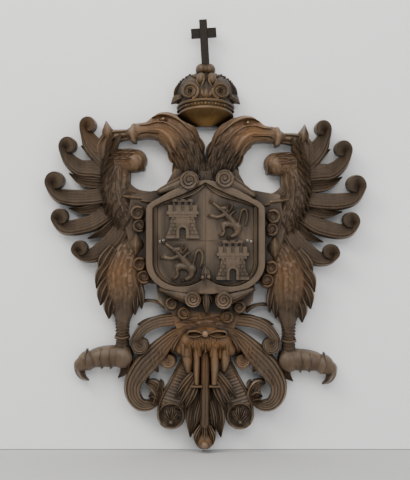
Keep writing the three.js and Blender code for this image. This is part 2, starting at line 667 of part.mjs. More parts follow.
// The crown's half-round body, tipped back: each ring is [height, half width, depth, front rise].
const CROWN_RINGS = [
  [0, 0.4, 0.3, 0], [0.1, 0.78, 0.58, 0.07], [0.165, 0.9, 0.96, 0.13], [0.215, 0.91, 0.97, 0.13],
  [0.23, 0.87, 0.92, 0.125], [0.315, 0.89, 0.93, 0.115], [0.33, 0.95, 1, 0.11], [0.38, 0.95, 1, 0.1],
  [0.4, 0.9, 0.9, 0.09], [0.52, 1, 0.93, 0.05], [0.68, 1, 0.85, 0.03],
  [0.86, 0.81, 0.68, 0.01], [1, 0.38, 0.42, 0],
];

function crownBody() {
  const steps = 8;
  const around = steps + 1;
  const positions = [];
  for (const [height, width, depth, rise] of CROWN_RINGS) {
    for (let i = 0; i < around; i += 1) {
      const angle = Math.PI * i / steps;
      const behind = i === 0 || i === steps ? BACK_TRIM : 0;
      positions.push(
        Math.cos(angle) * width * CROWN_WIDTH / 2,
        behind - Math.sin(angle) * depth * CROWN_DEPTH,
        crownFoot + (height + rise * Math.sin(angle)) * CROWN_HEIGHT,
      );
    }
  }
  const triangles = [];
  for (let ringIndex = 0; ringIndex < CROWN_RINGS.length - 1; ringIndex += 1) {
    for (let i = 0; i < around; i += 1) {
      const a = ringIndex * around + i;
      const b = ringIndex * around + (i + 1) % around;
      triangles.push(a, b, b + around, a, b + around, a + around);
    }
  }
  const top = (CROWN_RINGS.length - 1) * around;
  for (let i = 1; i < around - 1; i += 1) {
    triangles.push(0, i + 1, i, top, top + i, top + i + 1);
  }
  return solidOf(positions, triangles);
}

// A place on the crown's face: an angle round it, and a share of its height.
function onCrown(angleDegrees, share, out = 0) {
  const angle = THREE.MathUtils.degToRad(angleDegrees);
  const above = CROWN_RINGS.findIndex(([height]) => height >= share);
  const [h1, w1, d1, r1] = CROWN_RINGS[above];
  const [h0, w0, d0, r0] = CROWN_RINGS[above - 1];
  const mix = (share - h0) / (h1 - h0);
  const lerp = THREE.MathUtils.lerp;
  return new THREE.Vector3(
    -Math.cos(angle) * (lerp(w0, w1, mix) * CROWN_WIDTH / 2 + out),
    -Math.sin(angle) * (lerp(d0, d1, mix) * CROWN_DEPTH + out),
    crownFoot + (share + lerp(r0, r1, mix) * Math.sin(angle)) * CROWN_HEIGHT,
  );
}

// A round bar along points on the crown, with a thickness for each point.
function crownBar(points, thickness, steps) {
  const sides = 4;
  const route = new THREE.CatmullRomCurve3(points);
  const widths = new THREE.CatmullRomCurve3(thickness.map((t) => new THREE.Vector3(t, 0, 0)));
  const positions = [];
  const frames = route.computeFrenetFrames(steps, false);
  for (let i = 0; i <= steps; i += 1) {
    const p = route.getPointAt(i / steps);
    const radius = widths.getPoint(i / steps).x;
    for (let k = 0; k < sides; k += 1) {
      const angle = 2 * Math.PI * k / sides;
      const q = p.clone()
        .addScaledVector(frames.normals[i], Math.cos(angle) * radius)
        .addScaledVector(frames.binormals[i], Math.sin(angle) * radius);
      positions.push(q.x, q.y, q.z);
    }
  }
  const triangles = [];
  for (let i = 0; i < steps; i += 1) {
    for (let k = 0; k < sides; k += 1) {
      const a = i * sides + k;
      const b = i * sides + (k + 1) % sides;
      triangles.push(a, b, b + sides, a, b + sides, a + sides);
    }
  }
  const last = steps * sides;
  for (let k = 1; k < sides - 1; k += 1) {
    triangles.push(0, k + 1, k, last, last + k, last + k + 1);
  }
  return solidOf(positions, triangles);
}

const knobMiddle = crownFoot + CROWN_HEIGHT * 1.056;
const knobTop = knobMiddle + 6.5 * crownUnit;

function crownKnob() {
  const geometry = new THREE.SphereGeometry(1, 10, 5);
  geometry.scale(10 * crownUnit, 9.4 * crownUnit, 6.5 * crownUnit);
  return solidFromGeometry(geometry.translate(0, -CROSS_DEPTH - CROSS_THICKNESS / 2, knobMiddle));
}

// Everything in front of the flat back.
function spaceInFront() {
  const reach = 2 * EAGLE_HEIGHT;
  return prism([[-reach, -reach], [reach, -reach], [reach, reach], [-reach, reach]], 0, reach);
}

// The room for the crown between the heads: its outline from the front, grown by the clearance.
function crownSeat() {
  const half = CROWN_RINGS.map(([height, width]) => {
    return [width * CROWN_WIDTH / 2 + CLEARANCE, crownFoot - CLEARANCE + height * CROWN_HEIGHT];
  });
  const mirrored = half.slice().reverse().map(([x, z]) => [-x, z]);
  return prism([...half, ...mirrored], -BACK_TRIM, 2 * CROWN_DEPTH);
}

function buildCrown() {
  const arch = (angle, thickness) => {
    return crownBar([0.42, 0.58, 0.74, 0.95].map((share) => onCrown(angle, share)), thickness, 3);
  };
  const solids = [
    crownBody(), crownKnob(),
    arch(12, [5, 6, 6, 4.4]), arch(168, [5, 6, 6, 4.4]),
    arch(74, [3, 6, 7.4, 4]), arch(106, [3, 6, 7.4, 4]),
  ];
  for (const side of [-1, 1]) {
    const angle = (degrees) => (side < 0 ? degrees : 180 - degrees);
    const leafTip = new THREE.Vector3(side * CROWN_WIDTH * 0.565, -9, crownFoot + CROWN_HEIGHT * 0.43);
    const leafRoute = [onCrown(angle(34), 0.52), onCrown(angle(14), 0.5, 2), leafTip];
    solids.push(crownBar(leafRoute, [6, 11, 1.5], 2));
    const scrollRoute = [
      onCrown(angle(40), 0.44), onCrown(angle(36), 0.6, 1), onCrown(angle(52), 0.7, 1),
      onCrown(angle(62), 0.58),
    ];
    solids.push(crownBar(scrollRoute, [3.4, 5.4, 5.4, 4], 4));
  }
  const frontLeaf = [onCrown(90, 0.42), onCrown(90, 0.5, 2), onCrown(90, 0.62)];
  solids.push(crownBar(frontLeaf, [5, 6.4, 1.5], 2));
  return join(solids).intersect(spaceInFront()).subtract(crossSlot(CLEARANCE));
}

// The cross stands on the knob, leaning a little to the viewer's left.
function crossPlank(left, low, right, high, from, to) {
  const geometry = new THREE.BoxGeometry(right - left, to - from, high - low);
  geometry.translate((left + right) / 2, -(from + to) / 2, (low + high) / 2);
  geometry.rotateY(-CROSS_TILT);
  return solidFromGeometry(geometry.translate(0, 0, knobTop));
}

const crossFront = CROSS_DEPTH + CROSS_THICKNESS;
const lapDepth = CROSS_DEPTH + CROSS_THICKNESS / 2;

function crossSlot(margin) {
  const half = CROSS_WIDTH / 2 + margin;
  const back = CROSS_DEPTH - margin;
  return crossPlank(-half, -CROSS_TENON - margin, half, CROSS_TENON, back, crossFront + margin);
}

function buildCrossUpright() {
  const half = CROSS_WIDTH / 2;
  const plank = crossPlank(-half, -CROSS_TENON, half, CROSS_HEIGHT, CROSS_DEPTH, crossFront);
  const low = CROSS_BAR_LEVEL - CROSS_BAR_WIDTH / 2 - CLEARANCE;
  const high = CROSS_BAR_LEVEL + CROSS_BAR_WIDTH / 2 + CLEARANCE;
  return plank.subtract(crossPlank(-CROSS_WIDTH, low, CROSS_WIDTH, high, CROSS_DEPTH - 1, lapDepth));
}

function buildCrossBar() {
  const half = CROSS_BAR_LENGTH / 2;
  const low = CROSS_BAR_LEVEL - CROSS_BAR_WIDTH / 2;
  const high = CROSS_BAR_LEVEL + CROSS_BAR_WIDTH / 2;
  const plank = crossPlank(-half, low, half, high, CROSS_DEPTH, crossFront);
  const gap = CROSS_WIDTH / 2 + CLEARANCE;
  return plank.subtract(crossPlank(-gap, low - 1, gap, high + 1, lapDepth - CLEARANCE, crossFront + 1));
}

function buildPin(x, z) {
  const profile = [
    new THREE.Vector2(0, boardFace - PIN_LENGTH + CLEARANCE),
    new THREE.Vector2(PIN_SHANK / 2, boardFace - PIN_LENGTH + CLEARANCE),
    new THREE.Vector2(PIN_SHANK / 2, boardFace + CLEARANCE),
    new THREE.Vector2(PIN_HEAD / 2, boardFace + CLEARANCE),
    new THREE.Vector2(0, boardFace + CLEARANCE + PIN_DOME),
  ];
  const geometry = new THREE.LatheGeometry(profile, 6).rotateX(Math.PI);
  return solidFromGeometry(geometry.translate(x, 0, z));
}

function buildEagle() {
  const solids = [prism(bodyOutline(), -BACK_TRIM, SHIELD_SEAT - 2)];
  const cuts = [];
  for (const side of [-1, 1]) {
    const leaning = patternSide(side);
    const level = patternSide(side, 0);
    const head = headAndNeck(leaning);
    solids.push(...wing(leaning), ...head.solids, ...tongue(leaning));
    solids.push(...leg(leaning), ...collar(leaning), ...tailSide(level));
    cuts.push(...head.cuts);
  }
  const level = patternSide(-1, 0);
  solids.push(...tailMiddle(level), ...ram(level));
  solids.push(prism(shieldOutline(-SEAT_INSET), -BACK_TRIM, SHIELD_SEAT));
  return join(solids).intersect(spaceInFront()).subtract(join([...cuts, shieldSeat(), crownSeat()]));
}

// A named mesh of one solid, in its own material.
function piece(name, solid, colour, roughness, metalness = 0) {
  const { vertProperties, triVerts } = solid.getMesh();
  const geometry = new THREE.BufferGeometry();
  geometry.setAttribute('position', new THREE.BufferAttribute(new Float32Array(vertProperties), 3));
  geometry.setIndex(Array.from(triVerts));
  geometry.computeVertexNormals();
  const material = new THREE.MeshStandardMaterial({ color: colour, roughness, metalness });
  const mesh = new THREE.Mesh(geometry, material);
  mesh.name = name;
  return mesh;
}

const arms = new THREE.Group();
arms.add(piece('eagle', buildEagle(), 0x52402f, 0.5));
arms.add(piece('shield', buildShield(), 0x584a3e, 0.48));
arms.add(piece('crown', buildCrown(), 0x4a3726, 0.5));
arms.add(piece('cross_upright', buildCrossUpright(), 0x4c4038, 0.6));
arms.add(piece('cross_bar', buildCrossBar(), 0x3c332d, 0.6));
for (const { name, x, z } of pinPlaces) {
  arms.add(piece(name, buildPin(x, z), 0xb8b4aa, 0.35, 0.9));
}

export default arms;
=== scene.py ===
# A carved wooden coat of arms: a double-headed eagle under a crown and a cross, with a quartered
# shield on its breast, a collar of links, and a tail of scrolls and leaves with a hanging ram.
# Everything is drawn in millimetres in the frame of the solids, and set down in metres.

import math
import random
import bmesh
import bpy
import numpy as np
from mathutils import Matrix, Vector


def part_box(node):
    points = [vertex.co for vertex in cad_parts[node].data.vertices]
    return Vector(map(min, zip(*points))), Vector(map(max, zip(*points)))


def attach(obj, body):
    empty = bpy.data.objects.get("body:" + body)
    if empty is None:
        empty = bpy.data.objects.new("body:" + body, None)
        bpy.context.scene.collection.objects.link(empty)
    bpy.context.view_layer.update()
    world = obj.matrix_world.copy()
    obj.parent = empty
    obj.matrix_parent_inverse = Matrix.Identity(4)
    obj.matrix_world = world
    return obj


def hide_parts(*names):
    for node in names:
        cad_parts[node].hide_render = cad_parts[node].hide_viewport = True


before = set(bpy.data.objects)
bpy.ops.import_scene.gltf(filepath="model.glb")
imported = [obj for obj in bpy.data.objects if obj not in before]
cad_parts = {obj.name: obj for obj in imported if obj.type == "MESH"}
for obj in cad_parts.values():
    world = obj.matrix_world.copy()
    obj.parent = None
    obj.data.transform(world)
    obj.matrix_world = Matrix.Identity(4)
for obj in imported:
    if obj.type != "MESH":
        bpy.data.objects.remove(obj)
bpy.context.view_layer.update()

random.seed(11)

# Driving sizes, the same as those of the solids
EAGLE_HEIGHT = 784.0
EAGLE_RELIEF = 60.0
EAGLE_LEAN = 8.5
SHIELD_WIDTH = 274.0
SHIELD_HEIGHT = 261.0
SHIELD_FRAME = 27.0
SHIELD_BOARD = 18.0
SHIELD_SEAT = 40.0
SEAT_INSET = 6.0
FRAME_RISE = 10.0
CHARGE_RISE = 8.0
QUARTER_GROOVE = 2.4
CROWN_WIDTH = 142.0
CROWN_HEIGHT = 124.0
CROWN_DEPTH = 86.0
CROSS_WIDTH = 18.5
CROSS_HEIGHT = 103.0
CROSS_BAR_LENGTH = 59.0
CROSS_BAR_WIDTH = 23.0
CROSS_BAR_LEVEL = 71.0
CROSS_THICKNESS = 9.0
CROSS_TENON = 10.0
CROSS_DEPTH = 18.0
CROSS_TILT = math.radians(3.4)
CLEARANCE = 0.3

# The drawing is squared: so many squares to the eagle's height, the shield's width and height,
# and the crown's width, with the crown's foot and its knob at these levels
EAGLE_ROWS = 338
SHIELD_COLUMNS = 118
SHIELD_ROWS = 112.5
CROWN_COLUMNS = 61
CROWN_LEVEL = 115.1
KNOB_LEVEL = 1.056
KNOB_ROWS = 6.5

SQUARE = EAGLE_HEIGHT / EAGLE_ROWS
SHIELD_SQUARE = SHIELD_WIDTH / SHIELD_COLUMNS
SHIELD_ROW = SHIELD_HEIGHT / SHIELD_ROWS
CROWN_UNIT = CROWN_WIDTH / CROWN_COLUMNS
CROWN_FOOT = CROWN_LEVEL * SQUARE
BOARD_BACK = SHIELD_SEAT + CLEARANCE
BOARD_FACE = BOARD_BACK + SHIELD_BOARD
CHARGE_FACE = BOARD_FACE + CHARGE_RISE
CHARGE_ROOT = BOARD_FACE - 2
KNOB_MIDDLE = CROWN_FOOT + CROWN_HEIGHT * KNOB_LEVEL
KNOB_TOP = KNOB_MIDDLE + KNOB_ROWS * CROWN_UNIT

PIN_NAMES = [f"shield_pin_{side}_{place}" for side in ("left", "right") for place in ("outer", "inner")]


# Cross sections of a carved band: pairs of side share and height share


def crowned(steps=9):
    turns = np.linspace(0, math.pi, steps)
    top = [(-math.cos(t), 0.5 + 0.47 * math.sin(t) ** 0.7) for t in turns]
    return [(-1, 0), *top, (1, 0)]


def two_sided(half):
    """A section that is the same on both sides, from its left half."""
    return half + [(-side, rise) for side, rise in reversed(half) if side < 0]


def fluted(rim_side, flutes, depth=0.035, fall=0.16):
    """A bevelled rim along one edge, a groove beside it, and a vane of long hollows falling away."""
    points = [(-1, 0), (-1, 0.6), (-0.95, 0.78), (-0.84, 0.93), (-0.74, 1), (-0.66, 0.985), (-0.61, 0.89)]
    width = 1.55 / flutes
    for i in range(flutes):
        left = -0.55 + i * width
        high = 0.95 - fall * (i + 0.3) / flutes
        points += [(left + 0.12 * width, high), (left + 0.45 * width, high + 0.012)]
        points += [(left + 0.82 * width, high - 0.01), (left + 0.97 * width, high - depth)]
    points += [(1, 0.95 - fall - depth), (1, 0)]
    if rim_side > 0:
        return [(-side, rise) for side, rise in reversed(points)]
    return points


CROWNED = crowned()
BROAD = crowned(11)
KEELED = two_sided([(-1, 0), (-1, 0.5), (-0.8, 0.62), (-0.42, 0.73), (-0.14, 0.88), (0, 1)])
VEINED = two_sided([(-1, 0.6), (-0.62, 0.83), (-0.2, 0.9), (-0.1, 1)]) + [(0, 0.1)]
ROUND = two_sided([(-1, 0), (-1, 0.55), (-0.7, 0.84), (0, 1)])
FACETED = two_sided([(-1, 0), (-1, 0.62), (0, 1)])
FLAT = two_sided([(-1, 0), (-1, 0.7), (-0.9, 0.84), (-0.74, 0.9)])
STRAP = two_sided([
    (-1, 0), (-1, 0.62), (-0.86, 0.8), (-0.66, 0.9), (-0.6, 0.84), (-0.5, 0.93), (-0.1, 0.99),
])
RIBBED = two_sided([(-1, 0), (-1, 0.7), (-0.86, 0.86), (-0.66, 0.9), (-0.46, 0.8), (-0.26, 0.93), (0, 1)])
FEATHER = two_sided([
    (-1, 0), (-1, 0.84), (-0.9, 0.93), (-0.74, 0.94), (-0.6, 0.84), (-0.2, 0.86), (-0.08, 0.99),
])
LOCK = [
    (-1, 0), (-1, 0.8), (-0.7, 0.93), (-0.45, 0.88), (-0.15, 0.99), (0.15, 0.93), (0.4, 1), (0.75, 0.93),
    (1, 0.78), (1, 0),
]
LEAFY = [
    (-1, 0), (-1, 0.82), (-0.9, 0.95), (-0.72, 0.98), (-0.5, 0.86), (-0.3, 0.92), (-0.1, 0.78), (0.1, 0.78),
    (0.3, 0.9), (0.5, 0.8), (0.72, 0.88), (0.9, 0.84), (1, 0.7), (1, 0),
]

# Which ends of a stroke are rounded: its first, its last or both
START = (True, False)
END = (False, True)
BOTH = (True, True)


class Shell:
    """A closed surface with how far each point lies along and across its stroke."""

    def __init__(self, points, faces, along=None, across=None, barb=0.0):
        self.points = np.asarray(points, dtype=float)
        self.faces = faces
        count = len(self.points)
        self.along = np.zeros(count) if along is None else np.asarray(along, dtype=float)
        self.across = np.zeros(count) if across is None else np.asarray(across, dtype=float)
        self.barb = np.full(count, float(barb))
        if self.volume() < 0:
            self.faces = [tuple(reversed(face)) for face in faces]

    def volume(self):
        total = 0.0
        for face in self.faces:
            a = self.points[face[0]]
            for i in range(1, len(face) - 1):
                total += np.dot(a, np.cross(self.points[face[i]], self.points[face[i + 1]]))
        return total


def curve(rows, steps):
    """Rows on a smooth curve through the given ones, with so many steps from each to the next."""
    rows = np.asarray(rows, dtype=float)
    if len(rows) < 3:
        return rows
    padded = np.vstack([2 * rows[0] - rows[1], rows, 2 * rows[-1] - rows[-2]])
    t = np.linspace(0, 1, steps, endpoint=False)[:, None]
    pieces = []
    for i in range(1, len(padded) - 2):
        p0, p1, p2, p3 = padded[i - 1:i + 3]
        pieces.append(0.5 * (
            2 * p1 + (p2 - p0) * t + (2 * p0 - 5 * p1 + 4 * p2 - p3) * t ** 2
            + (3 * p1 - p0 - 3 * p2 + p3) * t ** 3
        ))
    return np.vstack([*pieces, rows[-1:]])


def respaced(rows, length, count):
    """The rows brought to even steps of length, so many in all."""
    wanted = np.linspace(0, length[-1], count + 1)
    return np.column_stack([np.interp(wanted, length, rows[:, k]) for k in range(rows.shape[1])])


def smooth(rows, spacing):
    """A curve through rows of x, z and other values, with points evenly spaced along it."""
    rows = curve(rows, 12)
    length = np.concatenate([[0], np.cumsum(np.hypot(*np.diff(rows[:, :2], axis=0).T))])
    return respaced(rows, length, max(int(math.ceil(length[-1] / spacing)), 3))


def tube_faces(rings, around):
    faces = []
    for i in range(rings - 1):
        for k in range(around):
            a = i * around + k
            b = i * around + (k + 1) % around
            faces.append((a, b, b + around, a + around))
    faces.append(tuple(range(around))[::-1])
    faces.append(tuple((rings - 1) * around + k for k in range(around)))
    return faces


def rounded_ends(rows, start, end):
    """Adds a few narrowing rows, so that a stroke ends in a round and not in a flat cut."""
    head, tail = [], []
    for wanted, at, inward, store in ((start, 0, 1, head), (end, -1, -2, tail)):
        if not wanted:
            continue
        way = rows[at, :2] - rows[inward, :2]
        way /= np.hypot(*way)
        for turn in (25, 50, 72):
            angle = math.radians(turn)
            row = rows[at].copy()
            row[:2] += way * row[2] * math.sin(angle)
            row[2] *= math.cos(angle)
            row[3] *= 0.6 + 0.4 * math.cos(angle)
            store.append(row)
    return np.vstack([*reversed(head), rows, *tail])


def band(stations, section, base=0.0, spacing=5, rounds=(False, False), ripple=None, barb=0.0):
    """A carved band swept along stations of x, z, half width and height."""
    rows = smooth(stations, spacing)
    rows[:, 2] = np.maximum(rows[:, 2], 0.5)
    rows = rounded_ends(rows, *rounds)
    steps = np.hypot(*np.diff(rows[:, :2], axis=0).T)
    length = np.concatenate([[0], np.cumsum(steps)])
    if ripple:
        pitch, depth = ripple
        rows[:, 3] -= depth * np.abs(np.sin(math.pi * length / pitch)) ** 0.5
        rows[:, 3] += depth
    ways = np.gradient(rows[:, :2], axis=0)
    ways /= np.maximum(np.hypot(*ways.T), 1e-9)[:, None]
    side = np.array([s for s, _ in section])
    rise = np.array([r for _, r in section])
    x = rows[:, 0:1] + ways[:, 1:2] * side * rows[:, 2:3]
    z = rows[:, 1:2] - ways[:, 0:1] * side * rows[:, 2:3]
    depth = base + (rows[:, 3:4] - base) * rise
    points = np.stack([x, -depth, z], axis=-1).reshape(-1, 3)
    along = np.repeat(length, len(section))
    across = (side * rows[:, 2:3]).reshape(-1)
    return Shell(points, tube_faces(len(rows), len(section)), along, across, barb)


def lathe(x, z, profile, sides):
    """A turned form about an axis that runs out from the back; profile holds radius and depth."""
    points = []
    for radius, depth in profile:
        for k in range(sides):
            angle = 2 * math.pi * k / sides
            points.append((x + radius * math.cos(angle), -depth, z + radius * math.sin(angle)))
    return Shell(points, tube_faces(len(profile), sides))


def dome(x, z, radius, height, share=0.5, sides=20, base=0.0):
    drop = min(radius * share, height - base)
    profile = [(radius, base)]
    for turn in (0, 20, 40, 60, 78):
        angle = math.radians(turn)
        profile.append((radius * math.cos(angle), height - drop * (1 - math.sin(angle))))
    profile.append((radius * 0.03, height))
    return lathe(x, z, profile, sides)


SNAIL_SIDES = 40
SNAIL_RINGS = 21


def snail(x, z, radius, height, start, turn, base):
    """A rolled end: its face is a bevelled strap that winds in to a knob, twice round."""
    angles = [2 * math.pi * k / SNAIL_SIDES for k in range(SNAIL_SIDES)]
    points = [(x + radius * math.cos(angle), -base, z + radius * math.sin(angle)) for angle in angles]
    for share in np.linspace(1.0, 0.04, SNAIL_RINGS):
        for angle in angles:
            wound = ((angle - start) * turn / (2 * math.pi)) % 1.0
            strap = ((1 - share) / 0.36 - wound) % 1.0
            face = 0.9 + 0.1 * min(strap / 0.22, 1) * (1 - 0.7 * max(strap - 0.4, 0))
            if share < 0.17:
                face = 1.0
            if share > 0.98:
                face = 0.92
            reach = radius * share
            depth = base + (height - base) * face
            points.append((x + reach * math.cos(angle), -depth, z + reach * math.sin(angle)))
    return Shell(points, tube_faces(SNAIL_RINGS + 1, SNAIL_SIDES))


def slab(outline, low, high):
    """A flat-faced prism on an outline of x and z, between two depths."""
    points = [(x, -low, z) for x, z in outline] + [(x, -high, z) for x, z in outline]
    return Shell(points, tube_faces(2, len(outline)))


class Pattern:
    """The eagle's squared pattern: out from the mirror line, up from the middle, in squares."""

    def __init__(self, side, lean=EAGLE_LEAN):
        self.side = side
        self.drop = lean if side > 0 else 0.0

    def point(self, out, up):
        return self.side * out * SQUARE, up * SQUARE - self.drop

    def band(self, stations, section=CROWNED, **options):
        real = []
        for out, up, half, rise in stations:
            real.append([*self.point(out, up), half * SQUARE, rise * EAGLE_RELIEF])
        return band(real, section, **options)

    def bands(self, table):
        """A band for each row of a table, which gives stations, a section and sometimes options."""
        made = []
        for stations, section, *options in table:
            made.append(self.band(stations, section, **dict(*options)))
        return made

    def dome(self, out, up, radius, rise, share=0.5, sides=20):
        return dome(*self.point(out, up), radius * SQUARE, rise * EAGLE_RELIEF, share, sides)


def traced(path):
    """A path in squares at even steps, with the way that it runs at each."""
    line = smooth(path, 1.0)
    ways = np.gradient(line[:, :2], axis=0)
    return line, ways / np.hypot(*ways.T)[:, None]


def shingles(pattern, path, first, last, rows, count, half, length, lift, spread):
    """Overlapping pointed feathers laid in staggered rows along a stroke, with tips to its start."""
    line, ways = traced(path)
    feathers = []
    for row in range(rows):
        at = int((first + (last - first) * row / max(rows - 1, 1)) * (len(line) - 1))
        out, up, width, rise = line[at]
        way = ways[at]
        across = np.array([way[1], -way[0]])
        shift = 0.5 * (row % 2)
        for i in range(count + 1):
            share = (i - shift - (count - 1) / 2) / max((count - 1) / 2, 1) * spread
            if abs(share) > spread + 0.2:
                continue
            root = np.array([out, up]) + across * share * width
            tip = root - way * length
            high = rise * (1 - 0.26 * share ** 2) + lift
            middle = (root + tip) / 2
            feathers.append(pattern.band([
                [*tip, 0.4, high - 0.08], [*middle, half, high + 0.01], [*root, half * 0.9, high - 0.02],
                [*(root + way * length * 0.25), half * 0.6, high - 0.1],
            ], FEATHER, barb=1.0, spacing=5))
    return feathers


def crown_share(share):
    """How high a crowned stroke stands at a share of its half width."""
    return 0.5 + 0.47 * (1 - min(share ** 2, 0.97)) ** 0.35


def strands(pattern, path, shares, half, lift):
    """Fine raised strokes that run along a broad one, each at its own share of the width."""
    line, ways = traced(path)
    stop = len(line) - 1
    made = []
    for share in shares:
        rows = []
        for i in np.linspace(0, stop, max(stop // 3, 4)).astype(int):
            out, up, width, rise = line[i]
            reach = share * width
            high = rise * crown_share(share) + lift
            rows.append([out + ways[i][1] * reach, up - ways[i][0] * reach, half, high])
        for end in (0, -1):
            rows[end][2] = 0.3 * half
            rows[end][3] -= 0.04
        made.append(pattern.band(rows, ROUND, spacing=3.4))
    return made


# The four points of a single hair: share of its sway, share of its width and drop in height
HAIR_BENDS = [(0, 0.4, 0.05), (1, 1, 0), (-0.7, 0.9, 0), (0.3, 0.25, 0.04)]


def hair(pattern, path, shares, pitch, length, half, lift, first=0.0, last=1.0):
    """Short wavy strokes laid in staggered rows on a broad one, all running towards its end."""
    line, ways = traced(path)
    stop = last * (len(line) - 1)
    made = []
    for k, share in enumerate(shares):
        at = first * (len(line) - 1) + 0.5 * pitch * (k % 2) * random.uniform(0.8, 1.2)
        while at < stop:
            sway = random.choice((-1, 1)) * random.uniform(0.3, 0.9)
            place = share + random.uniform(-0.07, 0.07)
            rows = []
            for j, (bend, width_share, drop) in enumerate(HAIR_BENDS):
                i = min(int(at + j * length / 3), len(line) - 1 - (3 - j))
                out, up, width, rise = line[i]
                reach = place * width + sway * bend
                face = rise * crown_share(reach / width) + lift - drop
                rows.append([out + ways[i][1] * reach, up - ways[i][0] * reach, half * width_share, face])
            made.append(pattern.band(rows, ROUND, spacing=5))
            at += pitch * random.uniform(0.85, 1.15)
    return made


# The roll at the end of a feather or scroll: turn round its middle, reach, half width and rise.
# The turn is 0 on the outer side and 90 on top, and the reach and width are shares of its radius
CURL_STATIONS = [
    (252, 0.42, 0.34, 0.84), (210, 0.47, 0.42, 0.93), (162, 0.49, 0.46, 0.98), (110, 0.5, 0.46, 0.96),
    (62, 0.5, 0.46, 0.9), (15, 0.53, 0.44, 0.82), (-28, 0.62, 0.43, 0.74),
]


def crozier(pattern, middle, blade, section, down=False, eye=0.16, barb=1.0, rise=1.0):
    """A stroke that rolls over at its end, round an eye; down turns the roll the other way up."""
    out, up, radius = middle
    stations = []
    for turn, reach, half, face in CURL_STATIONS:
        angle = math.radians(-turn if down else turn)
        stations.append([
            out + reach * radius * math.cos(angle), up + reach * radius * math.sin(angle),
            half * radius, face * rise,
        ])
    return [
        pattern.band(stations + blade, section, spacing=3.6, rounds=START, barb=barb),
        pattern.dome(out, up, eye * radius, 0.72 * rise, share=1.0, sides=14),
    ]


# Wings


PRIMARIES = [
    {
        "curl": (117.7, 116, 9.2),
        "blade": [[118.6, 105.5, 7, 0.64], [112.5, 95, 10, 0.56], [99, 80, 11, 0.46]],
    },
    {
        "curl": (138, 95.5, 9.6),
        "blade": [[136.3, 81, 7, 0.64], [125.5, 73, 8.6, 0.56], [113.5, 72, 9, 0.56], [96, 70, 9.5, 0.46]],
    },
    {
        "curl": (151, 60, 10.5),
        "blade": [
            [148.3, 46.4, 7, 0.66], [135.5, 43.2, 8.5, 0.57], [121.5, 43, 8.5, 0.55],
            [110.5, 44, 8.2, 0.56], [95, 47, 8.6, 0.46],
        ],
    },
    {
        "curl": (146, 24, 9.2),
        "blade": [
            [143.2, 14, 6.8, 0.66], [133.5, 13.2, 8, 0.58], [120.5, 16, 8.5, 0.55],
            [109.5, 20.5, 8.5, 0.56], [92, 33, 9, 0.46],
        ],
    },
    {
        "curl": (126, -7.8, 8.9),
        "blade": [
            [121.3, -15.4, 6.2, 0.66], [109, -12.6, 8.4, 0.62], [93, -1, 10.2, 0.64], [80.5, 17, 8.6, 0.6],
        ],
    },
]

POINTED = [
    [[125.5, 96, 0.6, 0.36], [114, 87.8, 3.8, 0.5], [103, 84, 4.6, 0.48]],
    [[137.5, 68, 0.6, 0.36], [122, 59.5, 5, 0.52], [103, 57.8, 6, 0.48]],
    [[137.5, 33, 0.6, 0.36], [121, 30.6, 4.2, 0.52], [105, 34.5, 5, 0.48]],
    [[118.5, 2.5, 0.6, 0.36], [102, 9.5, 4.2, 0.52], [86, 23, 5, 0.48]],
]

WING_ARM = [[82, 90, 9, 0.6], [89, 66, 14, 0.68], [87.5, 38, 12.6, 0.68], [67.5, -5, 8, 0.6]]
WING_ROOT = [[87.5, 54, 11, 0.6], [70.5, 44, 8.6, 0.6], [46, 40, 9, 0.6]]
ROOT_SHARES = (-0.7, -0.4, -0.1, 0.2, 0.5)
ARM_SHARES = (-0.86, -0.64, -0.42, -0.2, 0.02, 0.24, 0.46, 0.68, 0.88)
SHOULDER_SHARES = (-0.8, -0.58, -0.36, -0.14, 0.08, 0.3, 0.52, 0.74)
SHOULDER = [
    [99, 82.5, 8.5, 0.64], [90, 83, 10, 0.7], [80, 83, 10.5, 0.75], [71, 82, 10, 0.79], [65.4, 77, 7, 0.76],
    [65, 70, 4, 0.62],
]

# The edge of the small feathers, from the top of the wing down to the root of the lowest long one
COVERT_EDGE = [[96, 101], [100.5, 84], [102.5, 64], [100.5, 44], [95, 28], [84, 13]]


def coverts(pattern):
    """Wavy locks over the roots of the long feathers, with their tips down and outward."""
    edge = smooth([[*place, 0, 0] for place in COVERT_EDGE], 1.0)
    locks = []
    for inset, rise, count in ((0, 0.6, 13), (6, 0.66, 12)):
        for i in range(count):
            out, up = edge[int((i + 0.5) / count * (len(edge) - 1))][:2]
            out -= inset + random.uniform(-0.8, 0.8)
            bend = random.uniform(0.6, 1.4)
            locks.append(pattern.band([
                [out + 1.6, up - 8, 0.5, rise - 0.08], [out + bend, up - 2, 2, rise],
                [out - 2 - bend, up + 4, 2.4, rise + 0.03], [out - 5, up + 9, 1.4, rise - 0.02],
            ], LOCK, barb=1.0, spacing=4.2))
    return locks


def shoulder(pattern):
    """The rounded joint of the wing, with strokes combed round it."""
    return [
        pattern.band([[91.5, 81, 11, 0.68], [78.5, 81, 12, 0.74], [70, 80.6, 11.4, 0.76]], barb=0.8),
        pattern.dome(70, 80.6, 11.6, 0.8, share=1.0, sides=34),
        *hair(pattern, SHOULDER, SHOULDER_SHARES, pitch=8, length=11, half=1.25, lift=0.035),
    ]


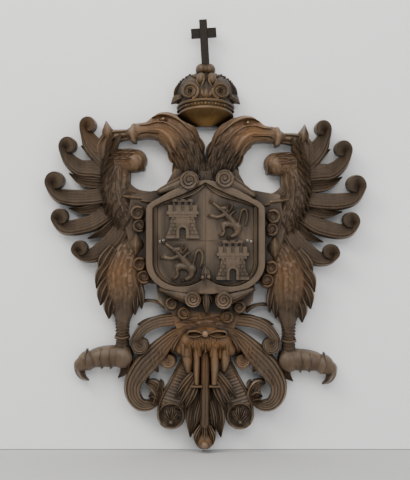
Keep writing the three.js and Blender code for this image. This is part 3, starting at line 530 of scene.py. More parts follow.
def wing(pattern):
    """The long feathers, the pointed ones between them, and the arm that carries them."""
    section = fluted(-pattern.side, 5)
    shells = [pattern.band(WING_ARM, barb=1.0)]
    for feather in PRIMARIES:
        shells += crozier(pattern, feather["curl"], feather["blade"], section)
    for stations in POINTED:
        shells.append(pattern.band(stations, LEAFY, barb=1.0))
    shells.append(pattern.band(WING_ROOT, barb=1.0))
    shells += hair(
        pattern, WING_ROOT, ROOT_SHARES, pitch=9, length=11, half=1.3, lift=0.03, first=0.05, last=0.8,
    )
    shells += hair(pattern, WING_ARM, ARM_SHARES, pitch=10.5, length=13, half=1.35, lift=0.035, first=0.1)
    return shells + shoulder(pattern) + coverts(pattern)


# Heads, necks and tongues


NECK = [
    [15.5, 50, 16, 0.62], [15.2, 70, 16.3, 0.7], [18.5, 88, 16.6, 0.82], [28, 106, 19, 1],
    [44, 113, 15.4, 1], [57.5, 111, 8.8, 0.94], [69, 109.6, 8.2, 0.84], [75.8, 108, 5.4, 0.66],
]


NECK_SHARES = (-0.72, -0.46, -0.2, 0.06, 0.32, 0.58, 0.8)

# The beak and the crests of feathers that run back from it along the neck
HEAD_STROKES = [
    ([[71.6, 115, 3.2, 0.78], [72.6, 108.5, 5, 0.86], [71.8, 101.5, 3.4, 0.76]], BROAD, {"rounds": BOTH}),
    ([[72.4, 103, 4, 0.74], [71, 99.8, 2.4, 0.66], [69.4, 97.8, 0.6, 0.5]], ROUND),
    ([
        [53.5, 122.6, 0.6, 0.92], [46, 126, 2.2, 1.04], [36, 125.2, 3.4, 1.08], [25, 119.4, 3.4, 1.07],
        [14, 109, 1, 0.96],
    ], VEINED),
    ([
        [66, 115.4, 0.6, 0.86], [57, 116.4, 2, 0.98], [48, 118.6, 2.6, 1.04], [38, 117, 3, 1.08],
        [27, 109, 2.6, 1.06], [17, 96, 0.7, 0.95],
    ], VEINED),
    ([
        [70, 109.4, 0.6, 0.88], [58.5, 110, 1.7, 0.97], [47, 110.4, 2.6, 1.04], [37.5, 105, 4.4, 1.06],
        [31.5, 95.5, 3.6, 0.98], [29.5, 89, 0.8, 0.86],
    ], BROAD),
    ([
        [60, 105.6, 0.6, 0.84], [49, 104.4, 1.6, 0.94], [40, 98.6, 2.6, 0.96], [34.6, 89, 2.4, 0.88],
        [33.4, 80, 0.6, 0.7],
    ], ROUND),
    ([[46.4, 121, 0.4, 1.0], [42, 118.8, 1.1, 1.09], [37.4, 121.2, 0.4, 1.04]], ROUND),
]
TONGUE_STROKES = [
    ([[70, 107, 4.8, 0.58], [81.5, 106.5, 5.6, 0.56], [92, 104.6, 7, 0.56], [100, 101, 7, 0.52]], RIBBED),
    ([[94, 110, 5, 0.46], [100.5, 97, 8.6, 0.54], [101.5, 82, 9, 0.52]], RIBBED, {"barb": 0.6}),
    ([[97, 102, 3, 0.62], [98.4, 109.5, 5.6, 0.66], [100, 120.8, 0.6, 0.42]], FACETED),
    ([[93.5, 112.5, 0.6, 0.5], [95, 107, 3, 0.64], [92, 102.4, 0.8, 0.56]], FACETED),
]


def head_and_neck(pattern):
    shells = [pattern.band(NECK, BROAD, barb=0.5, rounds=END)]
    shells += pattern.bands(HEAD_STROKES)
    shells.append(pattern.dome(42, 121.2, 1.5, 1.08, share=0.8, sides=12))
    shells += hair(
        pattern, NECK[::-1], NECK_SHARES, pitch=9, length=10, half=1.1, lift=0.012, first=0.3, last=0.62,
    )
    shells += shingles(
        pattern, NECK[:5], first=0.1, last=0.72, rows=6, count=4, half=4.4, length=13, lift=0.05, spread=0.86,
    )
    return shells


def mouth(pattern):
    """The slot between the halves of the beak, which is cut out."""
    real = []
    for out, up, half in ([68.5, 104.5, 0.9], [62, 107.5, 0.7], [46, 107, 0.5]):
        real.append([*pattern.point(out, up), half * SQUARE, 2 * EAGLE_RELIEF])
    return band(real, ROUND, base=0.7 * EAGLE_RELIEF)


# Legs


THIGH = [
    [70, 2, 9, 0.6], [79, -14, 15, 0.82], [83, -31, 17.6, 0.98], [82.4, -50, 17, 1.04],
    [82.6, -68, 11.5, 0.88], [83.4, -84, 6.4, 0.7], [83.6, -102, 6.4, 0.64], [84.6, -113, 9.4, 0.7],
]

# Pointed feathers round the thigh's edge: root, middle with its half width, and tip
THIGH_FEATHERS = [
    ([92, -6], [101, -20, 6.4], [106.5, -34]),
    ([94, -20], [104, -34, 6.4], [109.5, -47.5]),
    ([93, -34], [102, -50, 6.6], [105.5, -64.5]),
    ([88, -46], [95.5, -64, 6.4], [97, -78]),
    ([82, -50], [87.5, -66, 5], [87, -77.5]),
    ([76, -50], [79, -66, 4.6], [78, -79]),
    ([72, -42], [71.5, -62, 5], [70.5, -74]),
    ([70, -34], [66, -54, 5], [64, -68]),
]


THIGH_SHARES = (-0.84, -0.6, -0.38, -0.15, 0.08, 0.3, 0.53, 0.76)

# The foot's toes and claws, on either side of the round of its heel
TOES = [
    ([
        [82, -113.5, 9.4, 0.72], [92, -115.6, 10.6, 0.78], [102, -116.2, 10.4, 0.82],
        [110, -117.6, 9.6, 0.8], [114, -119.4, 8.4, 0.74],
    ], CROWNED, {"rounds": BOTH}),
    ([[112.4, -119, 8, 0.74], [119, -120.6, 10, 0.8], [125.4, -124, 7, 0.74]], CROWNED, {"rounds": BOTH}),
    ([
        [126, -123, 6.4, 0.72], [126.4, -130.4, 5.2, 0.66], [123.6, -136.8, 3.2, 0.56],
        [117.5, -140.5, 0.5, 0.42],
    ], KEELED),
]
BACK_CLAWS = [
    ([[81, -122, 6, 0.66], [81.5, -130, 4.4, 0.58], [88, -137.5, 0.5, 0.4]], LEAFY),
    ([[76, -120, 3, 0.6], [77, -128, 2.6, 0.54], [81, -134, 0.5, 0.42]], KEELED),
]

# The shank's scales run down to a ring above the foot, and each joint of the toes has a fold
SHANK = 83.6
SCALES = 9
ANKLET = [[91, -96, 1.8, 0.62], [SHANK, -97.6, 2.6, 0.73], [76.4, -96, 1.8, 0.62]]
TOE_FOLDS = [(95, 9.4), (104, 9.2), (119, 8.6)]


def leg(pattern):
    """The thigh with its feathers, the scaly shank, and the foot."""
    shells = [
        pattern.band(THIGH, BROAD, barb=0.9),
        *pattern.bands(TOES),
        pattern.dome(83.4, -117, 10.4, 0.78, sides=26),
        *pattern.bands(BACK_CLAWS),
    ]
    for root, (out, up, half), tip in THIGH_FEATHERS:
        stations = [[*root, half * 0.7, 0.82], [out, up, half, 0.88], [*tip, 0.5, 0.6]]
        shells.append(pattern.band(stations, FEATHER, barb=1.0, spacing=4.2))
    shells += hair(pattern, THIGH[:5], THIGH_SHARES, pitch=8.5, length=11, half=1.3, lift=0.02, first=0.05)
    for i in range(SCALES):
        up = -81 - i * 3.3
        half = 7 - 0.1 * i
        high = 0.73 - 0.008 * i
        shells.append(pattern.band([
            [SHANK + half, up + 0.8, 0.9, high - 0.12], [SHANK, up - 0.5, 1.4, high],
            [SHANK - half, up + 0.8, 0.9, high - 0.12],
        ], ROUND))
    shells.append(pattern.band(ANKLET, ROUND))
    for out, reach in TOE_FOLDS:
        shells.append(pattern.band([
            [out, -117 + reach, 1, 0.72], [out + 1.4, -118, 1.6, 0.84], [out, -118.5 - reach, 1, 0.7],
        ], ROUND))
    return shells


# Collar


COLLAR_EYES = [
    (67.5, 28, 8.4, 1), (66, 15, 7.5, -1), (65.5, -23, 8, 1), (61.5, -36, 8, -1),
    (33.5, -62, 7.2, 1), (21.5, -72, 7.2, -1),
]

# The bead between two links, the two bars that hold the collar above, and the string below
COLLAR_BARS = [
    ([[69, 8, 3, 0.8], [69, -4, 8.6, 0.96], [69.5, -16.5, 0.8, 0.76]], FACETED),
    ([[82, 44.6, 2, 0.72], [74, 43.6, 2.7, 0.76], [65.6, 42.6, 2.4, 0.74]], ROUND, {"rounds": BOTH}),
    ([[63.5, 40, 2.6, 0.74], [54.5, 38.5, 2.4, 0.74]], ROUND, {"rounds": BOTH}),
    ([[64, -60.5, 2, 0.5], [55.5, -60, 1.6, 0.52], [47.5, -62, 1.8, 0.55], [40, -66.5, 3, 0.6]], ROUND),
]


def scroll_link(pattern, out, up, radius, way):
    """A link of the collar: a thick strap that winds in like a comma."""
    rows = []
    for i in range(13):
        angle = math.radians(way * (120 - i * 38))
        inward = max(i - 6, 0) / 6
        reach = radius * (0.7 - 0.46 * inward)
        rows.append([
            out + reach * math.cos(angle), up + reach * math.sin(angle), radius * (0.3 - 0.06 * inward),
            0.92 - 0.07 * (i > 6) * inward,
        ])
    return [
        pattern.band(rows[:8], ROUND, spacing=3.1, rounds=START),
        pattern.band(rows[7:], ROUND, spacing=2.0, rounds=END),
        pattern.dome(out, up, radius * 0.94, 0.76, share=0.3, sides=22),
    ]


def collar(pattern):
    """One side of the collar: its links, and the bars between them."""
    shells = []
    for out, up, radius, way in COLLAR_EYES:
        shells += scroll_link(pattern, out, up, radius, way)
    return shells + pattern.bands(COLLAR_BARS)


# Tail


SCROLL_A = [
    [69.5, -97.5, 5, 0.72], [62, -88, 5.4, 0.72], [50, -81.5, 5.8, 0.7], [36, -79, 6, 0.68], [6, -76, 5, 0.6],
]
SCROLL_B = [
    [47.5, -160.5, 2.6, 0.66], [56, -165, 5, 0.72], [66, -164, 6.2, 0.74], [73.2, -154, 7.6, 0.74],
    [72.4, -141, 8.8, 0.75], [62, -125, 11, 0.77], [48.5, -111, 10, 0.75], [33.5, -96, 6.4, 0.7],
    [18, -88, 5, 0.66],
]
SCROLL_C = [[46.4, -112, 4.4, 0.7], [42, -105, 5, 0.7], [30, -98, 4.6, 0.66], [18, -92, 4, 0.6]]
SCROLL_LEAF = [[26, -97, 3, 0.72], [31.5, -106, 3.4, 0.76], [32.5, -114, 0.6, 0.6]]
SCROLL_D = [[18, -122, 7, 0.56], [24.5, -141, 10.5, 0.64], [30.3, -156, 13, 0.7], [34, -168, 14.2, 0.74]]

# Leaf tips along the inner edge of the great scroll: root with half width, middle and tip
SCROLL_LOBES = [
    ([46, -104, 5], [44.5, -114, 4], [42, -122]),
    ([54, -113, 6], [51.5, -124, 4.6], [47.5, -131.5]),
    ([62, -122, 6], [60.5, -132, 4.6], [57, -139.5]),
    ([69, -133, 5], [67.5, -141, 3.6], [65.5, -147]),
]
INNER_LEAF = [
    [[49, -164, 4, 0.7], [46.5, -153, 5.2, 0.76], [52, -144, 5.4, 0.76], [60, -141.5, 1, 0.6]],
    [[47, -156, 3, 0.74], [52, -153.5, 3.4, 0.8], [57, -156, 0.6, 0.64]],
    [[46, -150, 3, 0.76], [44.5, -143.5, 3, 0.8], [45.5, -139.5, 0.6, 0.66]],
    [[48, -161, 2.6, 0.72], [53.5, -160, 2.6, 0.74], [57.5, -161.5, 0.5, 0.6]],
]

# The leaves that hang beside the stem: root with half width, bend and tip
HANGING_LEAVES = [
    ([10, -137, 3], [17, -150, 4.4], [28, -168]),
    ([9, -142, 3], [14, -154, 4], [21.5, -170]),
    ([12, -132, 3], [21, -143, 3.6], [31, -157]),
]

# The fan of leaves in a roundel: the way that each points, its reach, and how far its bend turns
LEAF_FAN = [(15, 0.7, -22), (58, 0.74, -14), (100, 0.78, 8), (145, 0.74, 16), (188, 0.6, 20)]


def roundel(pattern, out, up, radius, rise):
    """The round end of a ribbed scroll: a rim, and a curled leaf carved inside it."""
    def around(turn, reach):
        angle = math.radians(turn)
        return [out + reach * radius * math.cos(angle), up + reach * radius * math.sin(angle)]

    rim = [[*around(turn, 0.86), 0.14 * radius, rise * 0.9] for turn in range(-30, 300, 15)]
    shells = [
        pattern.dome(out, up, radius, rise * 0.8, share=0.3, sides=36),
        pattern.band(rim, ROUND, spacing=3.1, rounds=BOTH),
    ]
    for turn, reach, bow_turn in LEAF_FAN:
        shells.append(pattern.band([
            [*around(270, 0.5), 0.1 * radius, rise],
            [*around(turn + bow_turn, reach * 0.5), 0.18 * radius, rise * 1.12],
            [*around(turn, reach), 0.5, rise * 0.9],
        ], FEATHER, spacing=2.9))
    shells.append(pattern.dome(*around(270, 0.4), 0.13 * radius, rise * 1.04, share=0.9, sides=14))
    return shells


def tail_side(pattern):
    """One side of the tail: three scrolls, the roundel that ends the last, and the hanging leaves."""
    flutes = fluted(pattern.side, 3, depth=0.05, fall=0.12)
    broad_flutes = fluted(pattern.side, 4, depth=0.05, fall=0.1)
    shells = crozier(pattern, (65.6, -104.2, 9.6), SCROLL_A, flutes, down=True, eye=0.2, barb=0.3, rise=0.9)
    shells.append(pattern.band([[68.5, -84, 0.6, 0.5], [60, -81.5, 3, 0.68], [48, -78, 3, 0.66]], KEELED))
    shells.append(pattern.band(SCROLL_B, broad_flutes, barb=0.4, rounds=START))
    for root, middle, tip in SCROLL_LOBES:
        shells.append(pattern.band([[*root, 0.7], [*middle, 0.72], [*tip, 0.5, 0.56]], FEATHER, spacing=3.6))
    for stations in INNER_LEAF:
        shells.append(pattern.band(stations, LEAFY, spacing=3.1))
    shells += crozier(pattern, (37.5, -120, 9), SCROLL_C, flutes, down=True, eye=0.3, barb=0.2, rise=0.86)
    shells.append(pattern.band(SCROLL_LEAF, FEATHER))
    shells.append(pattern.band(SCROLL_D, FLAT, ripple=(3.3 * SQUARE, 2.6), spacing=1.6))
    edge = [
        [out + 0.87 * half * 0.96, up + 0.36 * half, 1.5, rise + 0.03]
        for out, up, half, rise in SCROLL_D
    ]
    shells.append(pattern.band([*edge, [47.2, -174, 1.6, 0.8]], ROUND))
    shells += roundel(pattern, 34.5, -174.6, radius=14.2, rise=0.86)
    for root, bend, tip in HANGING_LEAVES:
        shells.append(pattern.band([[*root, 0.84], [*bend, 0.88], [*tip, 0.5, 0.74]], FEATHER, spacing=3.6))
    shells.append(pattern.band([
        [6, -146, 5, 0.66], [11, -168, 7.4, 0.72], [13.6, -182, 5.8, 0.7], [15.4, -197, 0.6, 0.46],
    ], LEAFY, barb=0.5))
    shells.append(pattern.band([[5, -160, 2, 0.74], [8.4, -176, 3, 0.78], [9.6, -190, 0.6, 0.6]], FEATHER))
    return shells


# The furry root of the tail, from its middle out to one side
BODY_SHARES = (-0.8, -0.5, -0.2, 0.1, 0.4, 0.7)
BODY_FUR = [[0, -82, 13, 0.72], [14, -81, 12.4, 0.7], [30, -81, 10, 0.64]]


def tail_middle(pattern):
    """The furry root, the stem that hangs from it, and the bud at its end."""
    stem = [[0.4, -108, 5.6, 0.86], [0.4, -140, 5.4, 0.86], [0.6, -172, 5.2, 0.84], [0.9, -186, 6.4, 0.82]]
    shells = [
        pattern.band(stem),
        pattern.dome(1, -199, 9.8, 0.84, share=0.9, sides=30),
        pattern.band([[-27, -80, 12, 0.6], [0, -78, 15, 0.68], [27, -80, 12, 0.6]], barb=0.6),
        pattern.band([[-24, -90, 10, 0.66], [0, -87, 12, 0.74], [24, -90, 10, 0.66]], barb=0.6),
        pattern.band([[-22, -102, 14, 0.58], [0, -106, 22, 0.6], [22, -102, 14, 0.58]]),
    ]
    for path in (BODY_FUR, [[-out, up, half, rise] for out, up, half, rise in BODY_FUR]):
        shells += hair(pattern, path, BODY_SHARES, pitch=9, length=11, half=1.3, lift=0.03)
    shells += strands(pattern, stem, (-0.7, 0.05, 0.72), half=1.2, lift=0.05)
    for out, lean in ((-6.4, -2.4), (8.2, 2.4), (1, 0)):
        shells.append(pattern.band([
            [out * 0.5, -184, 2, 0.84], [out + lean * 0.5, -194, 2.8, 0.92],
            [out * 0.8 + lean, -203, 0.6, 0.76],
        ], FEATHER, spacing=3.1))
    shells.append(pattern.dome(1, -203.4, 4, 0.93, share=0.9, sides=16))
    return shells


# The hanging ram


RAM_BODY = [
    [24, -109, 6, 0.9], [14, -101, 12, 1.1], [0, -98, 13, 1.12], [-14, -101, 12.6, 1.14],
    [-23.5, -109, 7, 0.95],
]


def bow(pattern):
    """The ribbon that the ram hangs from: two flat loops and a knot."""
    shells = [pattern.dome(0.4, -92.2, 3.2, 1.3, share=0.8, sides=16)]
    for way, reach in ((1, 18), (-1, 21)):
        for up, bulge in ((-90.6, 2.8), (-94, -2.2)):
            shells.append(pattern.band([
                [way * 2, -92.4, 1.2, 1.24], [way * reach * 0.5, up + bulge * 0.4, 1.5, 1.27],
                [way * reach * 0.9, up + bulge * 0.2, 1.4, 1.24], [way * reach, -92.4, 1.1, 1.2],
            ], ROUND, spacing=3.1))
    return shells


RAM_STROKES = [
    (RAM_BODY, BROAD, {"rounds": BOTH}),
    ([[18.5, -106, 7, 1.04], [17.6, -119, 5.8, 1.06], [17, -130, 3, 0.86]], CROWNED, {"rounds": END}),
    ([[22.4, -111, 1.8, 1.02], [19, -114, 2.4, 1.12], [14.6, -111.6, 0.8, 1.06]], VEINED),
    ([[-19, -108, 6.6, 1.06], [-19.4, -120, 5, 1.02], [-18.5, -129, 2.6, 0.84]], CROWNED, {"rounds": END}),
    ([[9.4, -106, 5, 1.06], [9, -120, 3.9, 1.04], [8.8, -143, 3, 0.94]], CROWNED),
    ([[-9, -104, 6, 1.1], [-9.4, -120, 4.6, 1.08], [-8.8, -143, 3.4, 0.96]], CROWNED),
    ([[14, -145, 2, 0.98], [4.4, -145, 2, 0.98]], ROUND, {"rounds": BOTH}),
    ([[-13.6, -145, 2, 0.98], [-4.6, -145, 2, 0.98]], ROUND, {"rounds": BOTH}),
]

# Where the fleece hangs down: place across, foot and half width
RAM_FLEECE = [
    (22, -113, 3.6), (15.4, -115, 4), (6.4, -113, 4.2), (0, -110, 2.6), (-6.6, -114, 4.4),
    (-14.4, -115, 4), (-21.4, -113, 3.4),
]


def ram(pattern):
    shells = pattern.bands(RAM_STROKES)
    for out, foot, half in RAM_FLEECE:
        fleece = [[out, -102, half, 1.12], [out, foot, half * 0.8, 1.08]]
        shells.append(pattern.band(fleece, ROUND, rounds=END))
    for out, up, half, rise in smooth(RAM_BODY, 2.7)[1:-1]:
        for share in (-0.8, -0.45, -0.1, 0.25):
            lock = up + share * half + random.uniform(-1, 1)
            high = rise * crown_share(share) + 0.05
            sway = random.uniform(-0.9, 0.9)
            shells.append(pattern.band([
                [out + 0.5 + sway, lock + 3, 0.5, high - 0.04], [out - sway, lock, 1.3, high],
                [out + sway, lock - 4, 0.4, high - 0.06],
            ], ROUND, spacing=4.2))
    return shells + bow(pattern)


def body_outline():
    """The board that carries the strokes: wide at the shoulders and drawn in to the tail."""
    half = [
        (0, 70), (31, 72), (42, 52), (74, 46), (80, 14), (74, -12), (64, -34), (60, -42),
        (49, -43), (47.5, -60), (34, -72), (28, -90), (24, -118), (14, -128), (0, -130),
    ]
    real = [(out * SQUARE, up * SQUARE) for out, up in half]
    return real + [(-x, z) for x, z in reversed(real[1:-1])]


# Shield


CURVE_STEPS = 8


def quadratic(a, b, c):
    """Points on a curve from a to c that is drawn towards b, without a itself."""
    points = []
    for i in range(1, CURVE_STEPS + 1):
        t = i / CURVE_STEPS
        points.append(tuple((1 - t) ** 2 * p + 2 * t * (1 - t) * q + t * t * r for p, q, r in zip(a, b, c)))
    return points


def mirrored(half):
    return half + [(-x, z) for x, z in reversed(half[1:-1])]


def shield_outline(margin=0.0):
    half = SHIELD_WIDTH / 2 + margin
    row = SHIELD_ROW
    corner = (0.8 * half, 42 * row + margin)
    foot = (0.72 * half, -46.8 * row - margin)
    points = [(0.0, 60.8 * row + margin)]
    points += quadratic(points[-1], (0.42 * half, 57 * row), corner)
    points += quadratic(corner, (half, 37 * row), (half, 31 * row))
    points += quadratic(points[-1], (half, 0), (half, -24 * row))
    points += quadratic(points[-1], (0.97 * half, -38 * row), foot)
    points += quadratic(foot, (0.4 * half, -52.5 * row - margin), (0.0, -53 * row - margin))
    return mirrored(points)


def field_outline():
    """The sunk field: a peak above, and two lobes with a cusp between them below."""
    half = SHIELD_WIDTH / 2 - SHIELD_FRAME
    row = SHIELD_ROW
    points = [(0.0, 60.8 * row - 0.42 * SHIELD_FRAME)]
    points += quadratic(points[-1], (0.14 * half, 43.5 * row), (0.6 * half, 40 * row))
    points += quadratic(points[-1], (0.8 * half, 37.5 * row), (half, 34 * row))
    points += quadratic(points[-1], (half, 0), (half, -22 * row))
    points += quadratic(points[-1], (0.96 * half, -41 * row), (0.48 * half, -43 * row))
    points += quadratic(points[-1], (0.11 * half, -43 * row), (0.0, -24 * row))
    return mirrored(points)


# The frame's moulding: shares of the way in from the edge, and of its rise
FRAME_PROFILE = [
    (0, 0.72), (0.03, 0.94), (0.08, 1), (0.3, 0.97), (0.5, 1), (0.56, 0.94), (0.585, 0.42), (0.65, 0.36),
    (0.68, 0.72), (0.73, 0.86), (0.78, 0.74), (0.8, 0.58), (0.83, 0.7), (0.88, 0.74), (0.93, 0.6),
    (0.95, 0.1), (0.99, 0), (1.05, 0),
]


def framed_board():
    outer = shield_outline()
    field = field_outline()
    rings = [(0, BOARD_BACK)] + [(share, BOARD_FACE + rise * FRAME_RISE) for share, rise in FRAME_PROFILE]
    points = []
    for share, depth in rings:
        for (x, z), (fx, fz) in zip(outer, field):
            points.append((x + (fx - x) * share, -depth, z + (fz - z) * share))
    return Shell(points, tube_faces(len(rings), len(outer)))


SHIELD_ROLLS = [
    {"thin": (-45, 49.5, 3.2), "big": (-16, 60, 9.4), "start": 240, "turn": 1},
    {"thin": (47.5, 45.5, 3.4), "big": (19, 61.5, 9.2), "start": 300, "turn": -1},
    {"thin": (-44.5, -47.5, 2.6), "big": (-12.5, -57.6, 8), "start": 120, "turn": -1},
    {"thin": (46.5, -47.6, 2.8), "big": (18, -58.6, 8.6), "start": 60, "turn": 1},
]


def roll_end(end):
    x, z, radius = end
    return x * SHIELD_SQUARE, z * SHIELD_ROW, radius * SHIELD_SQUARE


def shield_roll(roll):
    x0, z0, r0 = roll_end(roll["thin"])
    x1, z1, r1 = roll_end(roll["big"])
    thin_face = BOARD_FACE + FRAME_RISE * 0.3
    big_face = BOARD_FACE + FRAME_RISE * 1.5
    return [
        band(
            [[x0, z0, r0, thin_face], [x1, z1, r1 * 0.96, big_face]], STRAP, base=BOARD_BACK,
            rounds=START,
        ),
        snail(x1, z1, r1, big_face + 2, math.radians(roll["start"]), roll["turn"], BOARD_BACK),
    ]


def castle(x, z, width, height):
    """A castle with a tower, battlements, windows and an arched door, laid in courses of stone."""
    def at(across, up):
        return x + across * width, z + up * height

    def box(left, low, right, high, top, bottom=CHARGE_ROOT):
        return slab([at(left, low), at(right, low), at(right, high), at(left, high)], bottom, top)

    body = [
        (-0.5, -0.5), (0.5, -0.5), (0.5, -0.42), (0.4, -0.2), (0.36, 0.1), (-0.36, 0.1), (-0.4, -0.2),
        (-0.5, -0.42),
    ]
    shells = [
        slab([at(*place) for place in body], CHARGE_ROOT, CHARGE_FACE - 1),
        box(-0.5, 0.11, 0.5, 0.19, CHARGE_FACE + 1.5),
        box(-0.44, 0.04, 0.44, 0.12, CHARGE_FACE),
        box(-0.3, 0.16, 0.3, 0.46, CHARGE_FACE - 2),
        box(-0.33, 0.43, 0.33, 0.47, CHARGE_FACE - 0.5),
        box(-0.52, -0.5, -0.24, -0.43, CHARGE_FACE + 1),
        box(0.24, -0.5, 0.52, -0.43, CHARGE_FACE + 1),
    ]
    for i in range(4):
        middle = -0.38 + i * 0.76 / 3
        shells.append(box(middle - 0.07, 0.16, middle + 0.07, 0.345, CHARGE_FACE + 1.5))
    for middle in (-0.24, 0, 0.24):
        shells.append(box(middle - 0.07, 0.45, middle + 0.07, 0.5, CHARGE_FACE + 0.4))
    arch = [at(-0.11, -0.53), at(-0.11, -0.3)]
    ring = [at(-0.19, -0.5), at(-0.19, -0.3)]
    for i in range(1, 10):
        angle = math.pi * (1 - i / 10)
        for points, reach in ((arch, 0.11 * width), (ring, 0.19 * width)):
            points.append((x + reach * math.cos(angle), z - 0.3 * height + reach * math.sin(angle)))
    arch += [at(0.11, -0.3), at(0.11, -0.53)]
    ring += [at(0.19, -0.3), at(0.19, -0.5)]
    shells.append(slab(ring, CHARGE_ROOT, CHARGE_FACE + 1))
    cuts = [slab(arch, BOARD_FACE + 0.4, CHARGE_FACE + 9)]
    for across in (-0.2, 0, 0.2):
        cuts.append(box(across - 0.05, 0.355, across + 0.05, 0.425, CHARGE_FACE + 9, BOARD_FACE + 0.4))
    for row in range(5):
        level = -0.4 + row * 0.094
        for side in (-1, 1):
            left, right = sorted((side * 0.2, side * 0.48))
            cuts.append(box(left, level - 0.014, right, level + 0.014, CHARGE_FACE + 9, CHARGE_FACE - 3))
            for i in range(2):
                across = side * (0.24 + 0.12 * i + 0.06 * (row % 2))
                cuts.append(box(
                    across - 0.014, level + 0.013, across + 0.014, level + 0.081,
                    CHARGE_FACE + 9, CHARGE_FACE - 2.8,
                ))
    return shells, cuts


# A rampant lion facing left, in shares of its height: across, up, half width and rise
LION_LIMBS = [
    [[-0.125, 0.22, 0.09, 1.1], [0.04, 0.03, 0.11, 1.2], [0.21, -0.19, 0.13, 1.25]],
    [[-0.47, 0.11, 0.07, 0.9], [-0.29, 0.08, 0.06, 1], [-0.07, 0.14, 0.08, 1.1], [0.04, 0.08, 0.08, 1.15]],
    [[-0.42, 0.45, 0.055, 0.9], [-0.27, 0.34, 0.06, 1], [-0.125, 0.22, 0.07, 1.1], [0.04, 0.06, 0.08, 1.1]],
    [[0.12, 0.385, 0.02, 0.9], [0.06, 0.3, 0.05, 1.1], [-0.01, 0.2, 0.07, 1.15]],
    [[0.0, 0.45, 0.015, 0.9], [-0.03, 0.34, 0.05, 1.15], [-0.04, 0.22, 0.07, 1.2]],
    [[0.19, 0.25, 0.015, 0.9], [0.1, 0.19, 0.05, 1.1], [0.02, 0.1, 0.07, 1.15]],
    [[-0.25, 0.27, 0.045, 1.0], [-0.17, 0.31, 0.08, 1.25], [-0.08, 0.31, 0.09, 1.3]],
    [
        [0.16, -0.15, 0.11, 1.15], [0.02, -0.12, 0.1, 1.2], [-0.11, -0.13, 0.11, 1.2],
        [-0.14, -0.24, 0.06, 1.05], [-0.12, -0.33, 0.05, 1], [-0.18, -0.42, 0.055, 0.9],
    ],
    [[0.24, -0.24, 0.12, 1.15], [0.2, -0.38, 0.085, 1.05], [0.07, -0.46, 0.06, 0.9]],
    [
        [0.26, -0.11, 0.04, 0.9], [0.32, 0.11, 0.042, 0.9], [0.35, 0.23, 0.042, 0.95], [0.43, 0.29, 0.042, 1],
        [0.495, 0.2, 0.042, 1], [0.5, 0.04, 0.046, 0.95], [0.45, -0.14, 0.03, 0.85],
    ],
]
LION_SECTION = two_sided([(-1, 0), (-0.96, 0.35), (-0.7, 0.72), (-0.3, 0.95), (0, 1)])

# Paws and the way their claws point
LION_PAWS = [(-0.5, 0.1, 180), (-0.46, 0.48, 150), (-0.2, -0.43, 195), (0.02, -0.485, 180)]


def lion(x, z, height):
    def stroke(limb, section, **options):
        real = [
            [x + across * height, z + up * height, half * height, BOARD_FACE + rise * CHARGE_RISE]
            for across, up, half, rise in limb
        ]
        return band(real, section, base=CHARGE_ROOT, spacing=1.6, **options)

    shells = [stroke(limb, LION_SECTION, rounds=BOTH) for limb in LION_LIMBS]
    shells.append(dome(
        x + 0.23 * height, z - 0.19 * height, 0.13 * height,
        BOARD_FACE + 1.3 * CHARGE_RISE, share=0.6, base=CHARGE_ROOT,
    ))
    for i in range(6):
        turn = math.radians(80 - 30 * i)
        root = (-0.06 + 0.05 * math.cos(turn), 0.26 + 0.05 * math.sin(turn))
        tip = (-0.05 + 0.17 * math.cos(turn), 0.24 + 0.17 * math.sin(turn))
        bend = ((root[0] + tip[0]) / 2 + 0.015, (root[1] + tip[1]) / 2 + 0.015)
        shells.append(stroke([[*root, 0.022, 1.3], [*bend, 0.026, 1.36], [*tip, 0.007, 1.05]], KEELED))
    for across, up, way in LION_PAWS:
        for spread in (-38, 0, 38):
            angle = math.radians(way + spread)
            tip = (across + 0.085 * math.cos(angle), up + 0.085 * math.sin(angle))
            shells.append(stroke([[across, up, 0.022, 1.0], [*tip, 0.008, 0.6]], ROUND))
    for across, up, tip in ((-0.23, 0.31, (-0.27, 0.335)), (-0.13, 0.38, (-0.14, 0.43))):
        shells.append(stroke([[across, up, 0.02, 1.2], [*tip, 0.008, 0.9]], ROUND))
    root = (0.47, 0.24)
    for way in (60, 10, -40):
        angle = math.radians(way)
        tip = (root[0] + 0.08 * math.cos(angle), root[1] + 0.08 * math.sin(angle))
        shells.append(stroke([[*root, 0.02, 1.0], [*tip, 0.006, 0.8]], ROUND))
    return shells


def cusp_ornament():
    def stroke(stations, section):
        real = [
            [x * SHIELD_SQUARE, z * SHIELD_ROW, half * SHIELD_SQUARE, BOARD_FACE + rise * FRAME_RISE]
            for x, z, half, rise in stations
        ]
        return band(real, section, base=BOARD_BACK, spacing=1.8)

    def pearl(x, z):
        face = BOARD_FACE + 1.7 * FRAME_RISE
        radius = 2.3 * SHIELD_SQUARE
        return dome(x * SHIELD_SQUARE, z * SHIELD_ROW, radius, face, share=1.0, sides=16, base=BOARD_BACK)

    return [
        stroke([
            [0, -25, 1.2, 0.9], [0.1, -33, 4.4, 1.3], [0.4, -44, 3.6, 1.1], [0.4, -52, 0.8, 0.9],
        ], FEATHER),
        pearl(-2.6, -36),
        pearl(3.2, -35.5),
        stroke([[0.5, -52, 2, 1.1], [0.8, -61, 3.4, 1.3], [1, -70, 0.8, 0.6]], FEATHER),
        stroke([[-0.6, -53, 1.8, 1.1], [-4, -57.6, 2.6, 1.2], [-5.6, -63.5, 0.8, 0.8]], KEELED),
        stroke([[1.6, -53, 1.8, 1.1], [5, -57, 2.6, 1.2], [6.8, -62.5, 0.8, 0.8]], KEELED),
    ]


